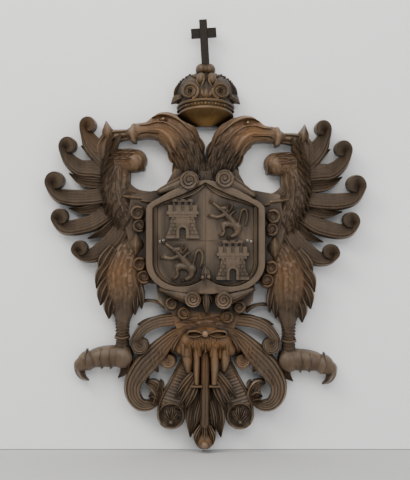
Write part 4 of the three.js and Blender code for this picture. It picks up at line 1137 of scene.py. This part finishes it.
def pin_holes():
    """Holes for the nails' shanks, where the solids put them."""
    holes = []
    for name in PIN_NAMES:
        low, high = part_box(name)
        x = (low.x + high.x) / 2 * 1000
        z = (low.z + high.z) / 2 * 1000
        holes.append(lathe(x, z, [(1.8, BOARD_FACE - 14), (1.8, BOARD_FACE + 4)], 12))
    return holes


# The charges' places and sizes, in squares of the shield: across, up, width and height
CASTLES = [(-22.6, 22, 31.5, 39), (27, -19, 31.5, 39)]
LIONS = [(23, 21, 36.5), (-22.6, -20.4, 39)]


def shield():
    shells = [framed_board()]
    for roll in SHIELD_ROLLS:
        shells += shield_roll(roll)
    cuts = []
    for across, up, width, height in CASTLES:
        solids, openings = castle(
            across * SHIELD_SQUARE, up * SHIELD_ROW, width * SHIELD_SQUARE, height * SHIELD_ROW,
        )
        shells += solids
        cuts += openings
    for across, up, height in LIONS:
        shells += lion(across * SHIELD_SQUARE, up * SHIELD_ROW, height * SHIELD_ROW)
    shells += cusp_ornament()
    groove = QUARTER_GROOVE / 2
    reach = SHIELD_WIDTH / 2 - SHIELD_FRAME
    for left, low, right, high in (
        (-groove, -24 * SHIELD_ROW, groove, 50 * SHIELD_ROW), (-reach, -groove, reach, groove),
    ):
        corners = [(left, low), (right, low), (right, high), (left, high)]
        cuts.append(slab(corners, BOARD_FACE - 1.6, BOARD_FACE + 1))
    return shells, cuts + pin_holes()


def shield_seat():
    """The room that the shield and its rolls need in the eagle's breast."""
    prism = [(-7.5, -40), (8.5, -40), (8.5, -67), (3, -72), (-1.5, -72), (-7.5, -68)]
    top = 2 * BOARD_FACE
    shells = [
        slab(shield_outline(CLEARANCE), SHIELD_SEAT, top),
        slab([(x * SHIELD_SQUARE, z * SHIELD_ROW) for x, z in prism], SHIELD_SEAT, top),
    ]
    for roll in SHIELD_ROLLS:
        x0, z0, r0 = roll_end(roll["thin"])
        x1, z1, r1 = roll_end(roll["big"])
        shells.append(band(
            [[x0, z0, r0 + CLEARANCE, top], [x1, z1, r1 + CLEARANCE, top]],
            [(-1, 0), (-1, 1), (1, 1), (1, 0)], base=SHIELD_SEAT, rounds=START,
        ))
        shells.append(lathe(x1, z1, [(r1 + CLEARANCE, SHIELD_SEAT), (r1 + CLEARANCE, top)], 30))
    return shells


# Crown


# The half-round body, tipped back: shares of height, half width, depth, and rise at the front
CROWN_RINGS = [
    (0, 0.4, 0.3, 0), (0.05, 0.62, 0.42, 0.03), (0.1, 0.78, 0.58, 0.07), (0.14, 0.86, 0.8, 0.11),
    (0.165, 0.9, 0.96, 0.13), (0.178, 0.925, 0.985, 0.131), (0.2, 0.925, 0.985, 0.131),
    (0.215, 0.91, 0.97, 0.13), (0.23, 0.87, 0.92, 0.125), (0.315, 0.89, 0.93, 0.115),
    (0.325, 0.94, 0.985, 0.112), (0.34, 0.955, 1, 0.11),
    (0.365, 0.955, 1, 0.105), (0.38, 0.94, 0.985, 0.1), (0.4, 0.88, 0.89, 0.09), (0.46, 0.92, 0.89, 0.07),
    (0.52, 0.96, 0.89, 0.05), (0.6, 0.98, 0.86, 0.04), (0.68, 0.96, 0.81, 0.03), (0.78, 0.87, 0.73, 0.02),
    (0.86, 0.78, 0.65, 0.01), (0.93, 0.6, 0.54, 0.005), (1, 0.38, 0.42, 0),
]


CROWN_TURNS = 41


def crown_body():
    points = []
    for height, width, depth, rise in CROWN_RINGS:
        for i in range(CROWN_TURNS):
            angle = math.pi * i / (CROWN_TURNS - 1)
            behind = 4 if i in (0, CROWN_TURNS - 1) else 0
            points.append((
                math.cos(angle) * width * CROWN_WIDTH / 2,
                behind - math.sin(angle) * depth * CROWN_DEPTH,
                CROWN_FOOT + (height + rise * math.sin(angle)) * CROWN_HEIGHT,
            ))
    return Shell(points, tube_faces(len(CROWN_RINGS), CROWN_TURNS))


def crown_ring(share):
    heights = [ring[0] for ring in CROWN_RINGS]
    return [float(np.interp(share, heights, [ring[k] for ring in CROWN_RINGS])) for k in (1, 2, 3)]


def on_crown(degrees, share, out=0.0):
    angle = math.radians(degrees)
    width, depth, rise = crown_ring(share)
    return np.array([
        -math.cos(angle) * (width * CROWN_WIDTH / 2 + out),
        -math.sin(angle) * (depth * CROWN_DEPTH + out),
        CROWN_FOOT + (share + rise * math.sin(angle)) * CROWN_HEIGHT,
    ])


def crown_front(across, up, out):
    """The place on the crown's face seen at these squares of the eagle's pattern."""
    x = across * SQUARE
    z = up * SQUARE
    level = (z - CROWN_FOOT) / CROWN_HEIGHT
    share = level
    sine = 1.0
    for _ in range(4):
        width, depth, rise = crown_ring(share)
        sine = math.sqrt(max(1 - (x / (width * CROWN_WIDTH / 2)) ** 2, 0.03))
        share = level - rise * sine
    return np.array([x, -(depth * CROWN_DEPTH * sine + out), z])


def rod(points, thickness, sides=10, spacing=2.2):
    """A round rod along points in space, with a thickness for each point."""
    rows = curve(np.column_stack([np.asarray(points), thickness]), 10)
    length = np.concatenate([[0], np.cumsum(np.linalg.norm(np.diff(rows[:, :3], axis=0), axis=1))])
    rows = respaced(rows, length, max(int(length[-1] / spacing), 3))
    ways = np.gradient(rows[:, :3], axis=0)
    ways /= np.linalg.norm(ways, axis=1)[:, None]
    normal = np.cross(ways[0], [0.31, 0.11, 0.94])
    made = []
    for row, way in zip(rows, ways):
        normal = normal - way * np.dot(normal, way)
        normal /= np.linalg.norm(normal)
        other = np.cross(way, normal)
        for k in range(sides):
            angle = 2 * math.pi * k / sides
            made.append(row[:3] + row[3] * (math.cos(angle) * normal + math.sin(angle) * other))
    return Shell(made, tube_faces(len(rows), sides))


def bead(centre, size, rings=7, sides=10):
    """A ball, or an egg where size holds a half size for each way."""
    half = np.ones(3) * size
    points = []
    for i in range(rings):
        turn = math.pi * (0.04 + 0.92 * i / (rings - 1))
        for k in range(sides):
            angle = 2 * math.pi * k / sides
            ball = (math.sin(turn) * math.cos(angle), math.sin(turn) * math.sin(angle), math.cos(turn))
            points.append(np.asarray(centre) + half * ball)
    return Shell(points, tube_faces(rings, sides))


def crown_knob():
    middle = np.array([0, -CROSS_DEPTH - CROSS_THICKNESS / 2, KNOB_MIDDLE])
    shells = [bead(middle, np.array([6, 7.6, 5.8]) * CROWN_UNIT, rings=12, sides=22)]
    for side in (-1, 1):
        lobe = middle + np.array([side * 4.3 * CROWN_UNIT, 0, 0])
        shells.append(bead(lobe, np.array([5.7, 9.2, 6.4]) * CROWN_UNIT, rings=14, sides=26))
    return shells


# The dark eye of each volute: out from the middle and up, in squares of the eagle's pattern
VOLUTE_EYE = (15.5, 148.5)
VOLUTE_STEPS = 34

# How far the crown's middle leaf and its top stand to the right of the middle, in squares
MIDDLE_SHIFT = 0.7
TOP_SHIFT = 0.9

# The crown's small leaves and stalks: places in the same squares with how far out, then thicknesses
SIDE_LEAVES = [
    ([(5.2, 153, 10), (2.6, 158, 13), (3.4, 165, 10), (6.4, 167.6, 5)], [1.4, 2.2, 2.2, 1.2]),
    ([(7, 153, 8), (9.4, 158, 7), (9, 164, 5)], [1.2, 1.8, 1.2]),
]
MIDDLE_LEAVES = [(0, 152.6, 6.2), (-3.6, 150.6, 4.6), (4.4, 150.6, 4.6)]
MIDDLE_STALK = [(0, 141, 4), (0, 146.5, 6.4), (0, 152.6, 3)]


def crown_volute(side):
    """A strap that winds in to a dark eye on one shoulder of the crown."""
    across, up = VOLUTE_EYE
    route = []
    thickness = []
    for i in range(VOLUTE_STEPS):
        angle = math.radians(-70 + i * 17)
        reach = 9 - 4.8 * i / (VOLUTE_STEPS - 1)
        route.append(crown_front(
            side * across - side * reach * math.cos(angle),
            up + reach * math.sin(angle) * 0.94,
            1.5 - 0.03 * i,
        ))
        thickness.append(4.6 - 2.2 * i / (VOLUTE_STEPS - 1))
    return rod(route, thickness, spacing=2.4)


def crown_side(side):
    """One side of the crown: a wide leaf, the volute, the top's lobe with its leaves, and the pearls."""
    def turned(degrees):
        return degrees if side < 0 else 180 - degrees

    tip = np.array([side * CROWN_WIDTH * 0.565, -9, CROWN_FOOT + CROWN_HEIGHT * 0.43])
    leaf = [on_crown(turned(34), 0.52), on_crown(turned(14), 0.5, 2), tip]
    shells = [rod(leaf, [6, 11, 1.5], sides=6)]
    for drop in (-3, 0, 3):
        shells.append(rod([
            on_crown(turned(38), 0.5, 3) + np.array([0, 0, drop]),
            on_crown(turned(16), 0.5, 9) + np.array([0, 0, 1.6 * drop]),
            tip + np.array([-side * 3, -2, 0]),
        ], [1.4, 2.2, 0.8], sides=8))
    shells.append(crown_volute(side))
    shells.append(bead(crown_front(side * 5.2 + TOP_SHIFT, 160, -2), (11.6, 15, 17), rings=14, sides=26))
    for places, thickness in SIDE_LEAVES:
        route = [crown_front(side * across + TOP_SHIFT, up, out) for across, up, out in places]
        shells.append(rod(route, thickness, sides=8))
    for i in range(13):
        shells.append(bead(on_crown(turned(13 + 1.3 * i), 0.46 + 0.042 * i, 6.6), 2.9))
    for i in range(9):
        shells.append(bead(on_crown(turned(42 + 3.4 * i), 0.95 - 0.008 * i, 3.4), 2.6))
    return shells


def crown():
    shells = [crown_body(), *crown_knob()]
    for degrees in (12, 168):
        arch = [on_crown(degrees, share, 1) for share in (0.42, 0.58, 0.74, 0.95)]
        shells.append(rod(arch, [5, 6, 6, 4.4]))
    cuts = []
    for side in (-1, 1):
        shells += crown_side(side)
        eye = crown_front(side * VOLUTE_EYE[0], VOLUTE_EYE[1], 2)
        cuts.append(bead(eye, (6, 9, 6), rings=10, sides=18))
    for across, up, half in MIDDLE_LEAVES:
        shells.append(rod([
            crown_front(MIDDLE_SHIFT + across * 0.4, 141.5, 0),
            crown_front(MIDDLE_SHIFT + across, 145.5, 2),
            crown_front(MIDDLE_SHIFT + across * 1.5, up, 1),
        ], [half * 0.8, half, 1.2], sides=8))
    stalk = [crown_front(MIDDLE_SHIFT + across, up, out) for across, up, out in MIDDLE_STALK]
    shells.append(rod(stalk, [1, 1.6, 0.8], sides=8))
    for i in range(25):
        shells.append(bead(on_crown(6 + 7 * i, 0.272, 1.6), 2.9 if i % 3 else 3.8))
    behind = slab([(-400, -600), (400, -600), (400, 600), (-400, 600)], -50, 0)
    return shells, [*cuts, cross_slot(), behind]


def crown_seat():
    """The room that the crown's foot needs between the necks."""
    half = [
        (width * CROWN_WIDTH / 2 + CLEARANCE, CROWN_FOOT - CLEARANCE + height * CROWN_HEIGHT)
        for height, width, _, _ in CROWN_RINGS
    ]
    return slab(half + [(-x, z) for x, z in reversed(half)], -4, 2 * CROWN_DEPTH)


# Cross


def plank(left, low, right, high, back, front):
    """A slat in the cross's own tilted frame, standing on the knob."""
    points = []
    for y in (back, front):
        for x, z in ((left, low), (right, low), (right, high), (left, high)):
            turned_x = x * math.cos(CROSS_TILT) - z * math.sin(CROSS_TILT)
            turned_z = x * math.sin(CROSS_TILT) + z * math.cos(CROSS_TILT)
            points.append((turned_x, -y, KNOB_TOP + turned_z))
    return Shell(points, tube_faces(2, 4))


CROSS_FRONT = CROSS_DEPTH + CROSS_THICKNESS
LAP_DEPTH = CROSS_DEPTH + CROSS_THICKNESS / 2


def cross_slot():
    half = CROSS_WIDTH / 2 + CLEARANCE
    back = CROSS_DEPTH - CLEARANCE
    return plank(-half, -CROSS_TENON - CLEARANCE, half, CROSS_TENON, back, CROSS_FRONT + CLEARANCE)


def cross_upright():
    half = CROSS_WIDTH / 2
    low = CROSS_BAR_LEVEL - CROSS_BAR_WIDTH / 2 - CLEARANCE
    high = CROSS_BAR_LEVEL + CROSS_BAR_WIDTH / 2 + CLEARANCE
    shells = [plank(-half, -CROSS_TENON, half, CROSS_HEIGHT, CROSS_DEPTH, CROSS_FRONT)]
    return shells, [plank(-CROSS_WIDTH, low, CROSS_WIDTH, high, CROSS_DEPTH - 1, LAP_DEPTH)]


def cross_bar():
    half = CROSS_BAR_LENGTH / 2
    low = CROSS_BAR_LEVEL - CROSS_BAR_WIDTH / 2
    high = CROSS_BAR_LEVEL + CROSS_BAR_WIDTH / 2
    gap = CROSS_WIDTH / 2 + CLEARANCE
    shells = [plank(-half, low, half, high, CROSS_DEPTH, CROSS_FRONT)]
    return shells, [plank(-gap, low - 1, gap, high + 1, LAP_DEPTH - CLEARANCE, CROSS_FRONT + 1)]


# Joining shells into pieces


def mesh_object(name, shell):
    mesh = bpy.data.meshes.new(name)
    mesh.from_pydata((shell.points / 1000).tolist(), [], shell.faces)
    for label in ("along", "across", "barb"):
        values = getattr(shell, label).astype(np.float32)
        mesh.attributes.new(label, "FLOAT", "POINT").data.foreach_set("value", values)
    return bpy.data.objects.new(name, mesh)


def combined(piece, operation, tools):
    """Joins the tools to a piece, or cuts them out of it, and uses them up."""
    if not tools:
        return piece
    group = bpy.data.collections.new("tools")
    for tool in tools:
        group.objects.link(tool)
    bpy.context.scene.collection.objects.link(piece)
    step = piece.modifiers.new(operation, "BOOLEAN")
    step.operation = operation
    step.operand_type = "COLLECTION"
    step.collection = group
    step.solver = "MANIFOLD"
    evaluated = piece.evaluated_get(bpy.context.evaluated_depsgraph_get())
    result = bpy.data.meshes.new_from_object(evaluated)
    piece.modifiers.clear()
    rough = piece.data
    piece.data = result
    bpy.data.meshes.remove(rough)
    bpy.context.scene.collection.objects.unlink(piece)
    for tool in tools:
        shape = tool.data
        bpy.data.objects.remove(tool)
        bpy.data.meshes.remove(shape)
    bpy.data.collections.remove(group)
    return piece


BATCH = 60


def carve(name, shells, cuts):
    """Joins closed shells into one solid surface, a batch at a time, and cuts others out of it."""
    pieces = []
    for start in range(0, len(shells), BATCH):
        few = enumerate(shells[start:start + BATCH], start)
        made = [mesh_object(f"{name}_{i}", shell) for i, shell in few]
        pieces.append(combined(made[0], "UNION", made[1:]))
    piece = combined(pieces[0], "UNION", pieces[1:])
    piece = combined(piece, "DIFFERENCE", [mesh_object(f"{name}_cut_{i}", cut) for i, cut in enumerate(cuts)])
    piece.name = name
    piece.data.name = name
    bpy.context.scene.collection.objects.link(piece)
    return piece


# How near two points lie to count as one, in metres. A larger reach tears the finest strokes open
MERGE_REACH = 0.0000001
SHARP_ANGLE = math.radians(38)


def tidy_surface(piece):
    """Clears the joins' doubled points and slivers away, and shades the surface evenly."""
    work = bmesh.new()
    work.from_mesh(piece.data)
    bmesh.ops.remove_doubles(work, verts=work.verts, dist=MERGE_REACH)
    bmesh.ops.dissolve_degenerate(work, edges=work.edges, dist=MERGE_REACH)
    work.to_mesh(piece.data)
    work.free()
    piece.data.shade_smooth()
    piece.data.set_sharp_from_angle(angle=SHARP_ANGLE)
    even = piece.modifiers.new("even_shading", "WEIGHTED_NORMAL")
    even.keep_sharp = True


SLAT_BEVEL = 0.7


def bevelled(piece, width):
    step = piece.modifiers.new("bevel", "BEVEL")
    step.width = width / 1000
    step.segments = 2
    step.limit_method = "ANGLE"
    evaluated = piece.evaluated_get(bpy.context.evaluated_depsgraph_get())
    rounded = bpy.data.meshes.new_from_object(evaluated)
    piece.modifiers.clear()
    piece.data = rounded
    rounded.name = piece.name


def eagle():
    shells = []
    cuts = shield_seat() + [crown_seat()]
    for side in (-1, 1):
        leaning = Pattern(side)
        level = Pattern(side, 0)
        shells += wing(leaning) + head_and_neck(leaning) + leaning.bands(TONGUE_STROKES)
        shells += leg(leaning) + collar(leaning) + tail_side(level)
        cuts.append(mouth(leaning))
    level = Pattern(-1, 0)
    shells += tail_middle(level) + ram(level)
    shells.append(slab(shield_outline(-SEAT_INSET), 0, SHIELD_SEAT))
    shells.append(slab(body_outline(), 0, SHIELD_SEAT - 2))
    return shells, cuts


# Painted shade in the hollows, and raised edges lightened partly by real rubbing and partly as painted
# highlight, read from a map of how far out the carving stands


MAP_CELL = 2.5
MAP_REACH = 560
MAP_COUNT = int(2 * MAP_REACH / MAP_CELL)

# How far round a point the carving is compared with it, and what each comparison weighs
SHADE_AND_WEAR_REACHES = [(4, 0.35), (10, 0.45)]

# Where hands and light have left the wood warmer: x, z, reach and strength
WARM_PLACES = [
    (-110, 275, 70, 1.0), (115, 262, 70, 1.0), (0, 285, 60, 1.0), (0, -235, 105, 1.0), (-190, -70, 60, 0.7),
    (195, -85, 60, 0.7), (-165, 190, 50, 0.5), (170, 175, 50, 0.5), (0, -470, 40, 0.6), (-90, 200, 60, 0.4),
    (-270, 270, 60, 0.5), (0, 350, 60, 0.4),
]


def blurred(grid, reach):
    """The map softened over so many millimetres, first one way and then the other."""
    size = max(int(reach / MAP_CELL), 1)
    kernel = np.exp(-0.5 * (np.arange(-3 * size, 3 * size + 1) / size) ** 2)
    kernel /= kernel.sum()
    result = np.apply_along_axis(lambda line: np.convolve(line, kernel, "same"), 0, grid)
    return np.apply_along_axis(lambda line: np.convolve(line, kernel, "same"), 1, result)


def measured(values, key):
    """The places that a mesh's points or faces hold, in millimetres."""
    places = np.empty(len(values) * 3)
    values.foreach_get(key, places)
    return places.reshape(-1, 3) * 1000


def cells(points):
    """The map's column and row at each point."""
    return tuple(((points[:, k] + MAP_REACH) / MAP_CELL).astype(int).clip(0, MAP_COUNT - 1) for k in (0, 2))


def relief_map(pieces):
    """How far out the carving stands in each cell, with single empty cells filled from beside them."""
    grid = np.zeros((MAP_COUNT, MAP_COUNT))
    for piece in pieces:
        points = np.vstack([measured(piece.data.vertices, "co"), measured(piece.data.polygons, "center")])
        np.maximum.at(grid, cells(points), -points[:, 1])
    for _ in range(2):
        around = np.max([np.roll(grid, shift, axis) for axis in (0, 1) for shift in (-1, 1)], axis=0)
        grid = np.where(grid <= 0.5, around * (around > 0.5), grid)
    return grid


def mark_shade_and_wear(pieces):
    """Gives each point its share of painted shade in the hollows, of edge lightening that is partly rubbed
    wood and partly painted highlight, and of warm patina.
    """
    grid = relief_map(pieces)
    maps = [(blurred(grid, reach), reach, weight) for reach, weight in SHADE_AND_WEAR_REACHES]
    for piece in pieces:
        points = measured(piece.data.vertices, "co")
        hollow_shade, edge, warm = np.zeros((3, len(points)))
        for level, reach, weight in maps:
            gap = level[cells(points)] + points[:, 1]
            # Painted shade: a point that lies below the softened carving around it is darkened
            hollow_shade += weight * np.clip(gap / reach, 0, 2)
            # Edge lightening where the point stands out from the carving around it: partly rubbed wood,
            # partly painted highlight
            edge += weight * np.clip(-gap / reach, 0, 2)
        for x, z, reach, strength in WARM_PLACES:
            distance = np.hypot(points[:, 0] - x, points[:, 2] - z) / reach
            warm = np.maximum(warm, strength * np.clip(1.3 - distance, 0, 1))
        for label, values in (("hollow_shade", hollow_shade), ("edge", edge), ("warm", warm)):
            layer = piece.data.attributes.new(label, "FLOAT", "POINT")
            layer.data.foreach_set("value", values.clip(0, 1).astype(np.float32))


# Materials


class Look:
    """A material, with short calls for the nodes that it is built of."""

    def __init__(self, name):
        self.material = bpy.data.materials.new(name)
        self.material.use_nodes = True
        self.tree = self.material.node_tree
        self.shader = self.tree.nodes["Principled BSDF"]

    def node(self, kind, **settings):
        made = self.tree.nodes.new(kind)
        for key, value in settings.items():
            setattr(made, key, value)
        return made

    def feed(self, node, **values):
        """Gives a node's inputs a value or another node's output; a name's underscore is a space."""
        for key, value in values.items():
            self.give(node.inputs[key.replace("_", " ")], value)

    def give(self, socket, value):
        if isinstance(value, bpy.types.NodeSocket):
            self.tree.links.new(value, socket)
        else:
            socket.default_value = value

    def math(self, operation, *values):
        made = self.node("ShaderNodeMath", operation=operation)
        for socket, value in zip(made.inputs, values):
            self.give(socket, value)
        return made.outputs[0]

    def mix(self, share, first, second):
        """A mix of two colours, which are plain ones or other nodes' outputs."""
        made = self.node("ShaderNodeMix", data_type="RGBA")
        for at, value in ((0, share), (6, first), (7, second)):
            self.give(made.inputs[at], (*value, 1) if isinstance(value, tuple) else value)
        return made.outputs[2]

    def attribute(self, name):
        return self.node("ShaderNodeAttribute", attribute_name=name).outputs["Fac"]

    def noise(self, stretch, scale, detail, rough):
        place = self.node("ShaderNodeTexCoord").outputs["Object"]
        mapping = self.node("ShaderNodeMapping")
        self.feed(mapping, Vector=place, Scale=stretch)
        made = self.node("ShaderNodeTexNoise")
        self.feed(made, Vector=mapping.outputs["Vector"], Scale=scale, Detail=detail, Roughness=rough)
        return made.outputs["Fac"]


EVEN = (1, 1, 1)
GRAIN_WAYS = {"X": (4, 60, 60), "Z": (60, 60, 4)}


def darker(colour, share):
    return tuple(v * share for v in colour)


def wood(
    name, dark, middle, light=None, warm=None, grain_axis="Z", rough=0.46, gloss=0.3, wear_and_highlight=0.6, hollow_shade_weight=0.95,
):
    """Stained wood. One with a light and a warm colour is carved: its raised edges lighten, partly as rubbed
    wood and partly as painted highlight, its warm patches are patina, and its hollows and the troughs of its
    feathers' strokes are darkened as painted shade.
    """
    look = Look(name)
    look.feed(look.shader, Specular_IOR_Level=gloss, Coat_Weight=0.1 * gloss, Coat_Roughness=0.3)
    stretch = GRAIN_WAYS[grain_axis]
    grain = look.noise(stretch, 2.2, 6.0, 0.6)
    pores = look.noise(tuple(v * 3 for v in stretch), 4.0, 3.0, 0.7)
    patches = look.noise(EVEN, 9.0, 4.0, 0.6)
    tone = look.math("MULTIPLY_ADD", grain, 0.9, -0.1)
    tone = look.math("ADD", tone, look.math("MULTIPLY_ADD", patches, 0.5, -0.25))
    tone = look.math("MAXIMUM", look.math("MINIMUM", tone, 1.0), 0.0)
    colour = look.mix(tone, dark, middle)
    bumps = look.math("MULTIPLY_ADD", grain, 0.6, look.math("MULTIPLY", pores, 0.4))
    if light:
        # The near-black colour of the painted shade in the hollows and in the strokes' troughs
        painted_shade_colour = darker(dark, 0.3)
        warmth = look.math("MULTIPLY_ADD", patches, 1.4, -0.1)
        warmth = look.math("MULTIPLY", look.attribute("warm"), warmth)
        colour = look.mix(look.math("MINIMUM", warmth, 0.85), colour, warm)
        # Raised edges lighten, partly as rubbed wood and partly as painted highlight
        worn_and_lit = look.math("MULTIPLY_ADD", grain, 1.2, 0.1)
        worn_and_lit = look.math("MULTIPLY", look.attribute("edge"), worn_and_lit)
        colour = look.mix(look.math("MINIMUM", worn_and_lit, wear_and_highlight), colour, light)
        # Painted shade: the hollows are darkened towards the near-black colour
        sunk = look.math("MULTIPLY", look.attribute("hollow_shade"), hollow_shade_weight)
        colour = look.mix(look.math("MINIMUM", sunk, 0.88), colour, painted_shade_colour)

        # Fine strokes on the feathers, slanting away from the middle of each, as bumps with their troughs
        # darkened as painted shade
        barb = look.attribute("barb")
        slant = look.math("ADD", look.attribute("along"), look.math("ABSOLUTE", look.attribute("across")))
        waver = look.math("MULTIPLY", patches, 6.0)
        strokes = look.math("SINE", look.math("ADD", look.math("MULTIPLY", slant, 1.9), waver))
        strokes = look.math("MULTIPLY", strokes, barb)
        bumps = look.math("MULTIPLY_ADD", strokes, 0.9, bumps)
        # Painted shade in the troughs of the strokes
        stroke_troughs_shade = look.math("MULTIPLY", look.math("MULTIPLY_ADD", strokes, -0.5, 0.5), barb)
        colour = look.mix(look.math("MULTIPLY", stroke_troughs_shade, 0.35), colour, painted_shade_colour)
    bump = look.node("ShaderNodeBump")
    look.feed(bump, Strength=0.6, Distance=0.001, Height=bumps)
    roughness = look.math("MULTIPLY_ADD", patches, 0.3, rough - 0.15)
    look.feed(look.shader, Base_Color=colour, Roughness=roughness, Normal=bump.outputs["Normal"])
    return look.material


def steel():
    look = Look("pin_steel")
    speckle = look.noise(EVEN, 900.0, 3.0, 0.6)
    colour = look.mix(speckle, (0.52, 0.5, 0.46), (0.78, 0.76, 0.72))
    roughness = look.math("MULTIPLY_ADD", speckle, 0.25, 0.2)
    look.feed(look.shader, Metallic=0.85, Base_Color=colour, Roughness=roughness)
    return look.material


# Pieces


carved_wood = wood(
    "carved_wood", (0.036, 0.0225, 0.012), (0.128, 0.083, 0.05), (0.25, 0.185, 0.125), (0.21, 0.1, 0.035),
)
# The shield's wood: less edge lightening, and the fullest painted shade in its hollows
shield_wood = wood(
    "shield_wood", (0.025, 0.0165, 0.009), (0.088, 0.059, 0.036), (0.17, 0.122, 0.08), (0.16, 0.085, 0.035),
    wear_and_highlight=0.38, hollow_shade_weight=1.0,
)
crown_wood = wood(
    "crown_wood", (0.014, 0.0088, 0.0045), (0.037, 0.024, 0.014), (0.11, 0.076, 0.049), (0.27, 0.15, 0.048),
    wear_and_highlight=0.4,
)
cross_wood_up = wood(
    "cross_wood_upright", (0.013, 0.0095, 0.007), (0.029, 0.0215, 0.0155), rough=0.6, gloss=0.15,
)
cross_wood_bar = wood(
    "cross_wood_bar", (0.01, 0.0078, 0.006), (0.021, 0.016, 0.012), grain_axis="X", rough=0.6, gloss=0.15,
)
pin_steel = steel()


def dress(name, built, material, node_name):
    """Carves a piece from its shells and cuts, in place of one of the solids."""
    piece = carve(name, *built)
    piece.data.materials.clear()
    piece.data.materials.append(material)
    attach(piece, "root")
    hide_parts(node_name)
    return piece


carved_eagle = dress("carved_eagle", eagle(), carved_wood, "eagle")
carved_shield = dress("carved_shield", shield(), shield_wood, "shield")
carved_crown = dress("carved_crown", crown(), crown_wood, "crown")
slat_upright = dress("slat_upright", cross_upright(), cross_wood_up, "cross_upright")
slat_bar = dress("slat_bar", cross_bar(), cross_wood_bar, "cross_bar")

for piece in (carved_eagle, carved_shield, carved_crown):
    tidy_surface(piece)
for piece in (slat_upright, slat_bar):
    bevelled(piece, SLAT_BEVEL)
# Painted shade in the hollows, edge lightening that is partly painted highlight, and warm patina, as point
# attributes
mark_shade_and_wear([carved_eagle, carved_shield, carved_crown])

for name in PIN_NAMES:
    pin = bpy.data.objects[name]
    pin.data.materials.clear()
    pin.data.materials.append(pin_steel)


# Stage


# The wall stands just behind the carving and runs down to the floor. These are in metres
STAGE_REACH = 4
WALL_PLACE = 0.012
WALL_FOOT = -0.49
WALL_TOP = 3
FLOOR_LEVEL = -0.492


def plain(name, colour, rough):
    look = Look(name)
    mottle = look.noise(EVEN, 3.0, 3.0, 0.5)
    look.feed(look.shader, Base_Color=look.mix(mottle, darker(colour, 0.96), colour), Roughness=rough)
    return look


def sheet(name, corners, material):
    mesh = bpy.data.meshes.new(name)
    mesh.from_pydata(corners, [], [(0, 1, 2, 3)])
    mesh.materials.append(material)
    made = bpy.data.objects.new(name, mesh)
    bpy.context.scene.collection.objects.link(made)


def one_sided(look):
    """Lets a camera behind the sheet see through it."""
    choice = look.node("ShaderNodeMixShader")
    solid, clear = look.shader.outputs[0], look.node("ShaderNodeBsdfTransparent").outputs[0]
    behind = look.node("ShaderNodeNewGeometry").outputs["Backfacing"]
    for socket, value in zip(choice.inputs, (behind, solid, clear)):
        look.give(socket, value)
    look.feed(look.tree.nodes["Material Output"], Surface=choice.outputs[0])
    return look


wall_corners = [
    (-STAGE_REACH, WALL_PLACE, WALL_FOOT), (STAGE_REACH, WALL_PLACE, WALL_FOOT),
    (STAGE_REACH, WALL_PLACE, WALL_TOP), (-STAGE_REACH, WALL_PLACE, WALL_TOP),
]
floor_corners = [
    (-STAGE_REACH, -STAGE_REACH, FLOOR_LEVEL), (STAGE_REACH, -STAGE_REACH, FLOOR_LEVEL),
    (STAGE_REACH, WALL_PLACE, FLOOR_LEVEL), (-STAGE_REACH, WALL_PLACE, FLOOR_LEVEL),
]
sheet("wall", wall_corners, one_sided(plain("wall_paint", (0.94, 0.94, 0.94), 0.9)).material)
sheet("floor", floor_corners, plain("floor_paint", (0.55, 0.55, 0.55), 0.8).material)


def area_light(name, place, target, size, power, colour):
    data = bpy.data.lights.new(name, "AREA")
    data.shape = "RECTANGLE"
    data.size, data.size_y = size
    data.energy = power
    data.color = colour
    light = bpy.data.objects.new(name, data)
    light.location = place
    way = Vector(target) - Vector(place)
    light.rotation_euler = way.to_track_quat("-Z", "Y").to_euler()
    bpy.context.scene.collection.objects.link(light)


area_light("key", (-1.7, -2.1, 2.1), (-0.2, 0, -0.2), (1.5, 1.5), 66, (1.0, 0.97, 0.93))
area_light("front", (0.2, -3.2, 1.6), (0, 0, 0), (2.6, 1.8), 62, (1.0, 0.985, 0.96))
area_light("fill", (1.9, -2.4, 0.3), (0, 0, -0.2), (1.8, 1.8), 20, (0.95, 0.97, 1.0))
area_light("top", (0.1, -0.9, 2.3), (0, 0, -0.1), (1.6, 0.8), 20, (1.0, 0.98, 0.95))

world = bpy.data.worlds.new("studio")
bpy.context.scene.world = world
world.use_nodes = True
world.node_tree.nodes["Background"].inputs["Color"].default_value = (0.78, 0.8, 0.83, 1)
world.node_tree.nodes["Background"].inputs["Strength"].default_value = 0.35


# Camera, square on to the carving, three metres away


CAMERA_DISTANCE = 3.04
MIDDLE_DEPTH = 0.035
SENSOR_WIDTH = 36
PHOTO_HEIGHT = 480
camera_data = bpy.data.cameras.new("camera")
camera_data.sensor_fit = "AUTO"
camera_data.sensor_width = SENSOR_WIDTH
camera_data.lens = SENSOR_WIDTH * (CAMERA_DISTANCE - MIDDLE_DEPTH) / (PHOTO_HEIGHT * SQUARE / 1000)
camera = bpy.data.objects.new("camera", camera_data)
camera.location = (-0.5 * SQUARE / 1000, -CAMERA_DISTANCE, 1.0 * SQUARE / 1000)
camera.rotation_euler = (math.pi / 2, 0, 0)
bpy.context.scene.collection.objects.link(camera)
bpy.context.scene.camera = camera
